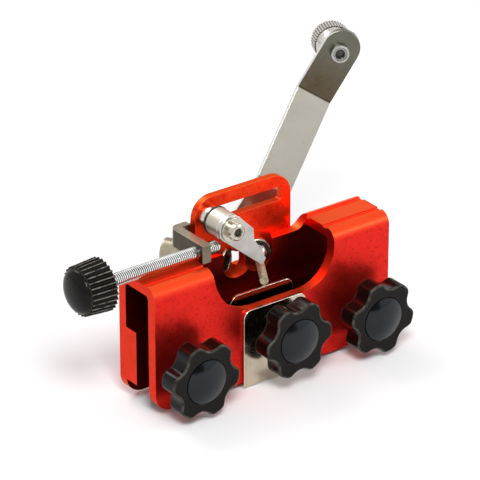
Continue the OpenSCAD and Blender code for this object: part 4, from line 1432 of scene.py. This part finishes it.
@dataclass
class Studio:
    """Pale floor, soft lights and the photograph's camera."""

    target: Point = (-9.0, 0.0, 63.1)
    azimuth: float = -36.85
    elevation: float = 26.2
    distance: float = 1500.0
    lens: float = 255.0
    sensor: float = 36.0
    nearest: float = 0.05
    farthest: float = 50.0
    floor_height: float = -2.45
    floor_size: float = 6000.0
    ambient: float = 0.42
    dim_side: Point = (0.10, -0.99, 0.08)
    dim_from: float = 0.945
    dim_full: float = 0.975
    dim_light: float = 0.08
    lamps: tuple[tuple[str, Point, float, float], ...] = (
        ("key_softbox", (-500, -800, 1100), 450, 14.0),
        ("right_softbox", (900, -700, 500), 450, 5.0),
        ("back_softbox", (-100, 900, 1000), 600, 6.0),
    )

    def floor(self) -> None:
        """Lays the pale floor."""
        bm = bmesh.new()
        bmesh.ops.create_grid(bm, x_segments=1, y_segments=1, size=self.floor_size * MM / 2)
        bmesh.ops.translate(bm, vec=(0, 0, self.floor_height * MM), verts=bm.verts)
        data = bpy.data.meshes.new("studio_floor")
        bm.to_mesh(data)
        bm.free()
        data.materials.append(PAPER.material())
        stand("studio_floor", data)

    def world(self) -> None:
        """Sets the surroundings: white where they are seen, gentler as light.

        Reflections also find the dim side of the studio, in front of the object.
        """
        world = bpy.data.worlds.new("soft_surroundings")
        bpy.context.scene.world = world
        world.use_nodes = True
        sheet = Sheet(world.node_tree)
        background = world.node_tree.nodes["Background"]
        ray = sheet.add("ShaderNodeLightPath").outputs
        seen = sheet.combine("MAXIMUM", ray["Is Camera Ray"], ray["Is Glossy Ray"])
        seen = sheet.combine("MAXIMUM", seen, ray["Is Transmission Ray"])
        toward = sheet.dot(sheet.add("ShaderNodeTexCoord").outputs["Generated"], self.dim_side)
        dim = sheet.between(toward, 1.0, self.dim_light, self.dim_from, self.dim_full,
                            "SMOOTHSTEP")
        mirrored = sheet.add("ShaderNodeMix", {0: ray["Is Glossy Ray"], 2: 1.0, 3: dim},
                             data_type="FLOAT").outputs[0]
        strength = sheet.between(seen, self.ambient, 1.0)
        sheet.feed(background.inputs["Strength"], sheet.combine("MULTIPLY", strength, mirrored))
        sheet.feed(background.inputs["Color"], WHITE)

    def hang(self, name: str, spot: Point, size: float, power: float) -> None:
        """Hangs one square soft light that faces the object.

        Args:
            name: the lamp's name.
            spot: where it hangs, in millimetres.
            size: length of its side, in millimetres.
            power: its power in watts.
        """
        light = bpy.data.lights.new(name, "AREA")
        light.size = size * MM
        light.energy = power
        lamp = stand(name, light)
        lamp.location = Vector(spot) * MM
        self.aim(lamp, Vector(self.target) * MM - lamp.location)

    def aim(self, item: bpy.types.Object, toward: Vector) -> None:
        """Turns a lamp or the camera to face along a direction."""
        item.rotation_mode = "QUATERNION"
        item.rotation_quaternion = toward.to_track_quat("-Z", "Y")

    def camera(self) -> None:
        """Puts the camera where the photograph was taken from."""
        data = bpy.data.cameras.new("photo_camera")
        data.lens, data.sensor_width = self.lens, self.sensor
        data.clip_start, data.clip_end = self.nearest, self.farthest
        made = stand("photo_camera", data)
        a, e = math.radians(self.azimuth), math.radians(self.elevation)
        back = Vector((math.sin(a) * math.cos(e), -math.cos(a) * math.cos(e), math.sin(e)))
        made.location = (Vector(self.target) + back * self.distance) * MM
        self.aim(made, -back)
        bpy.context.scene.camera = made

    def build(self) -> None:
        """Sets up the whole studio."""
        self.camera()
        self.floor()
        self.world()
        for lamp in self.lamps:
            self.hang(*lamp)
        bpy.context.scene.view_settings.view_transform = "Standard"


def main() -> None:
    """Builds every sub-assembly and the studio."""
    logging.basicConfig(level=logging.INFO, format="%(name)s: %(message)s")
    Studio().build()
    for assembly in (ClampBody(), Clamps(), Adjuster(), ToothStop(), Crank()):
        pieces = assembly.pieces()
        for piece in pieces:
            piece.build()
        LOG.info("%s: %d pieces built", type(assembly).__name__, len(pieces))


if __name__ == "__main__":
    main()
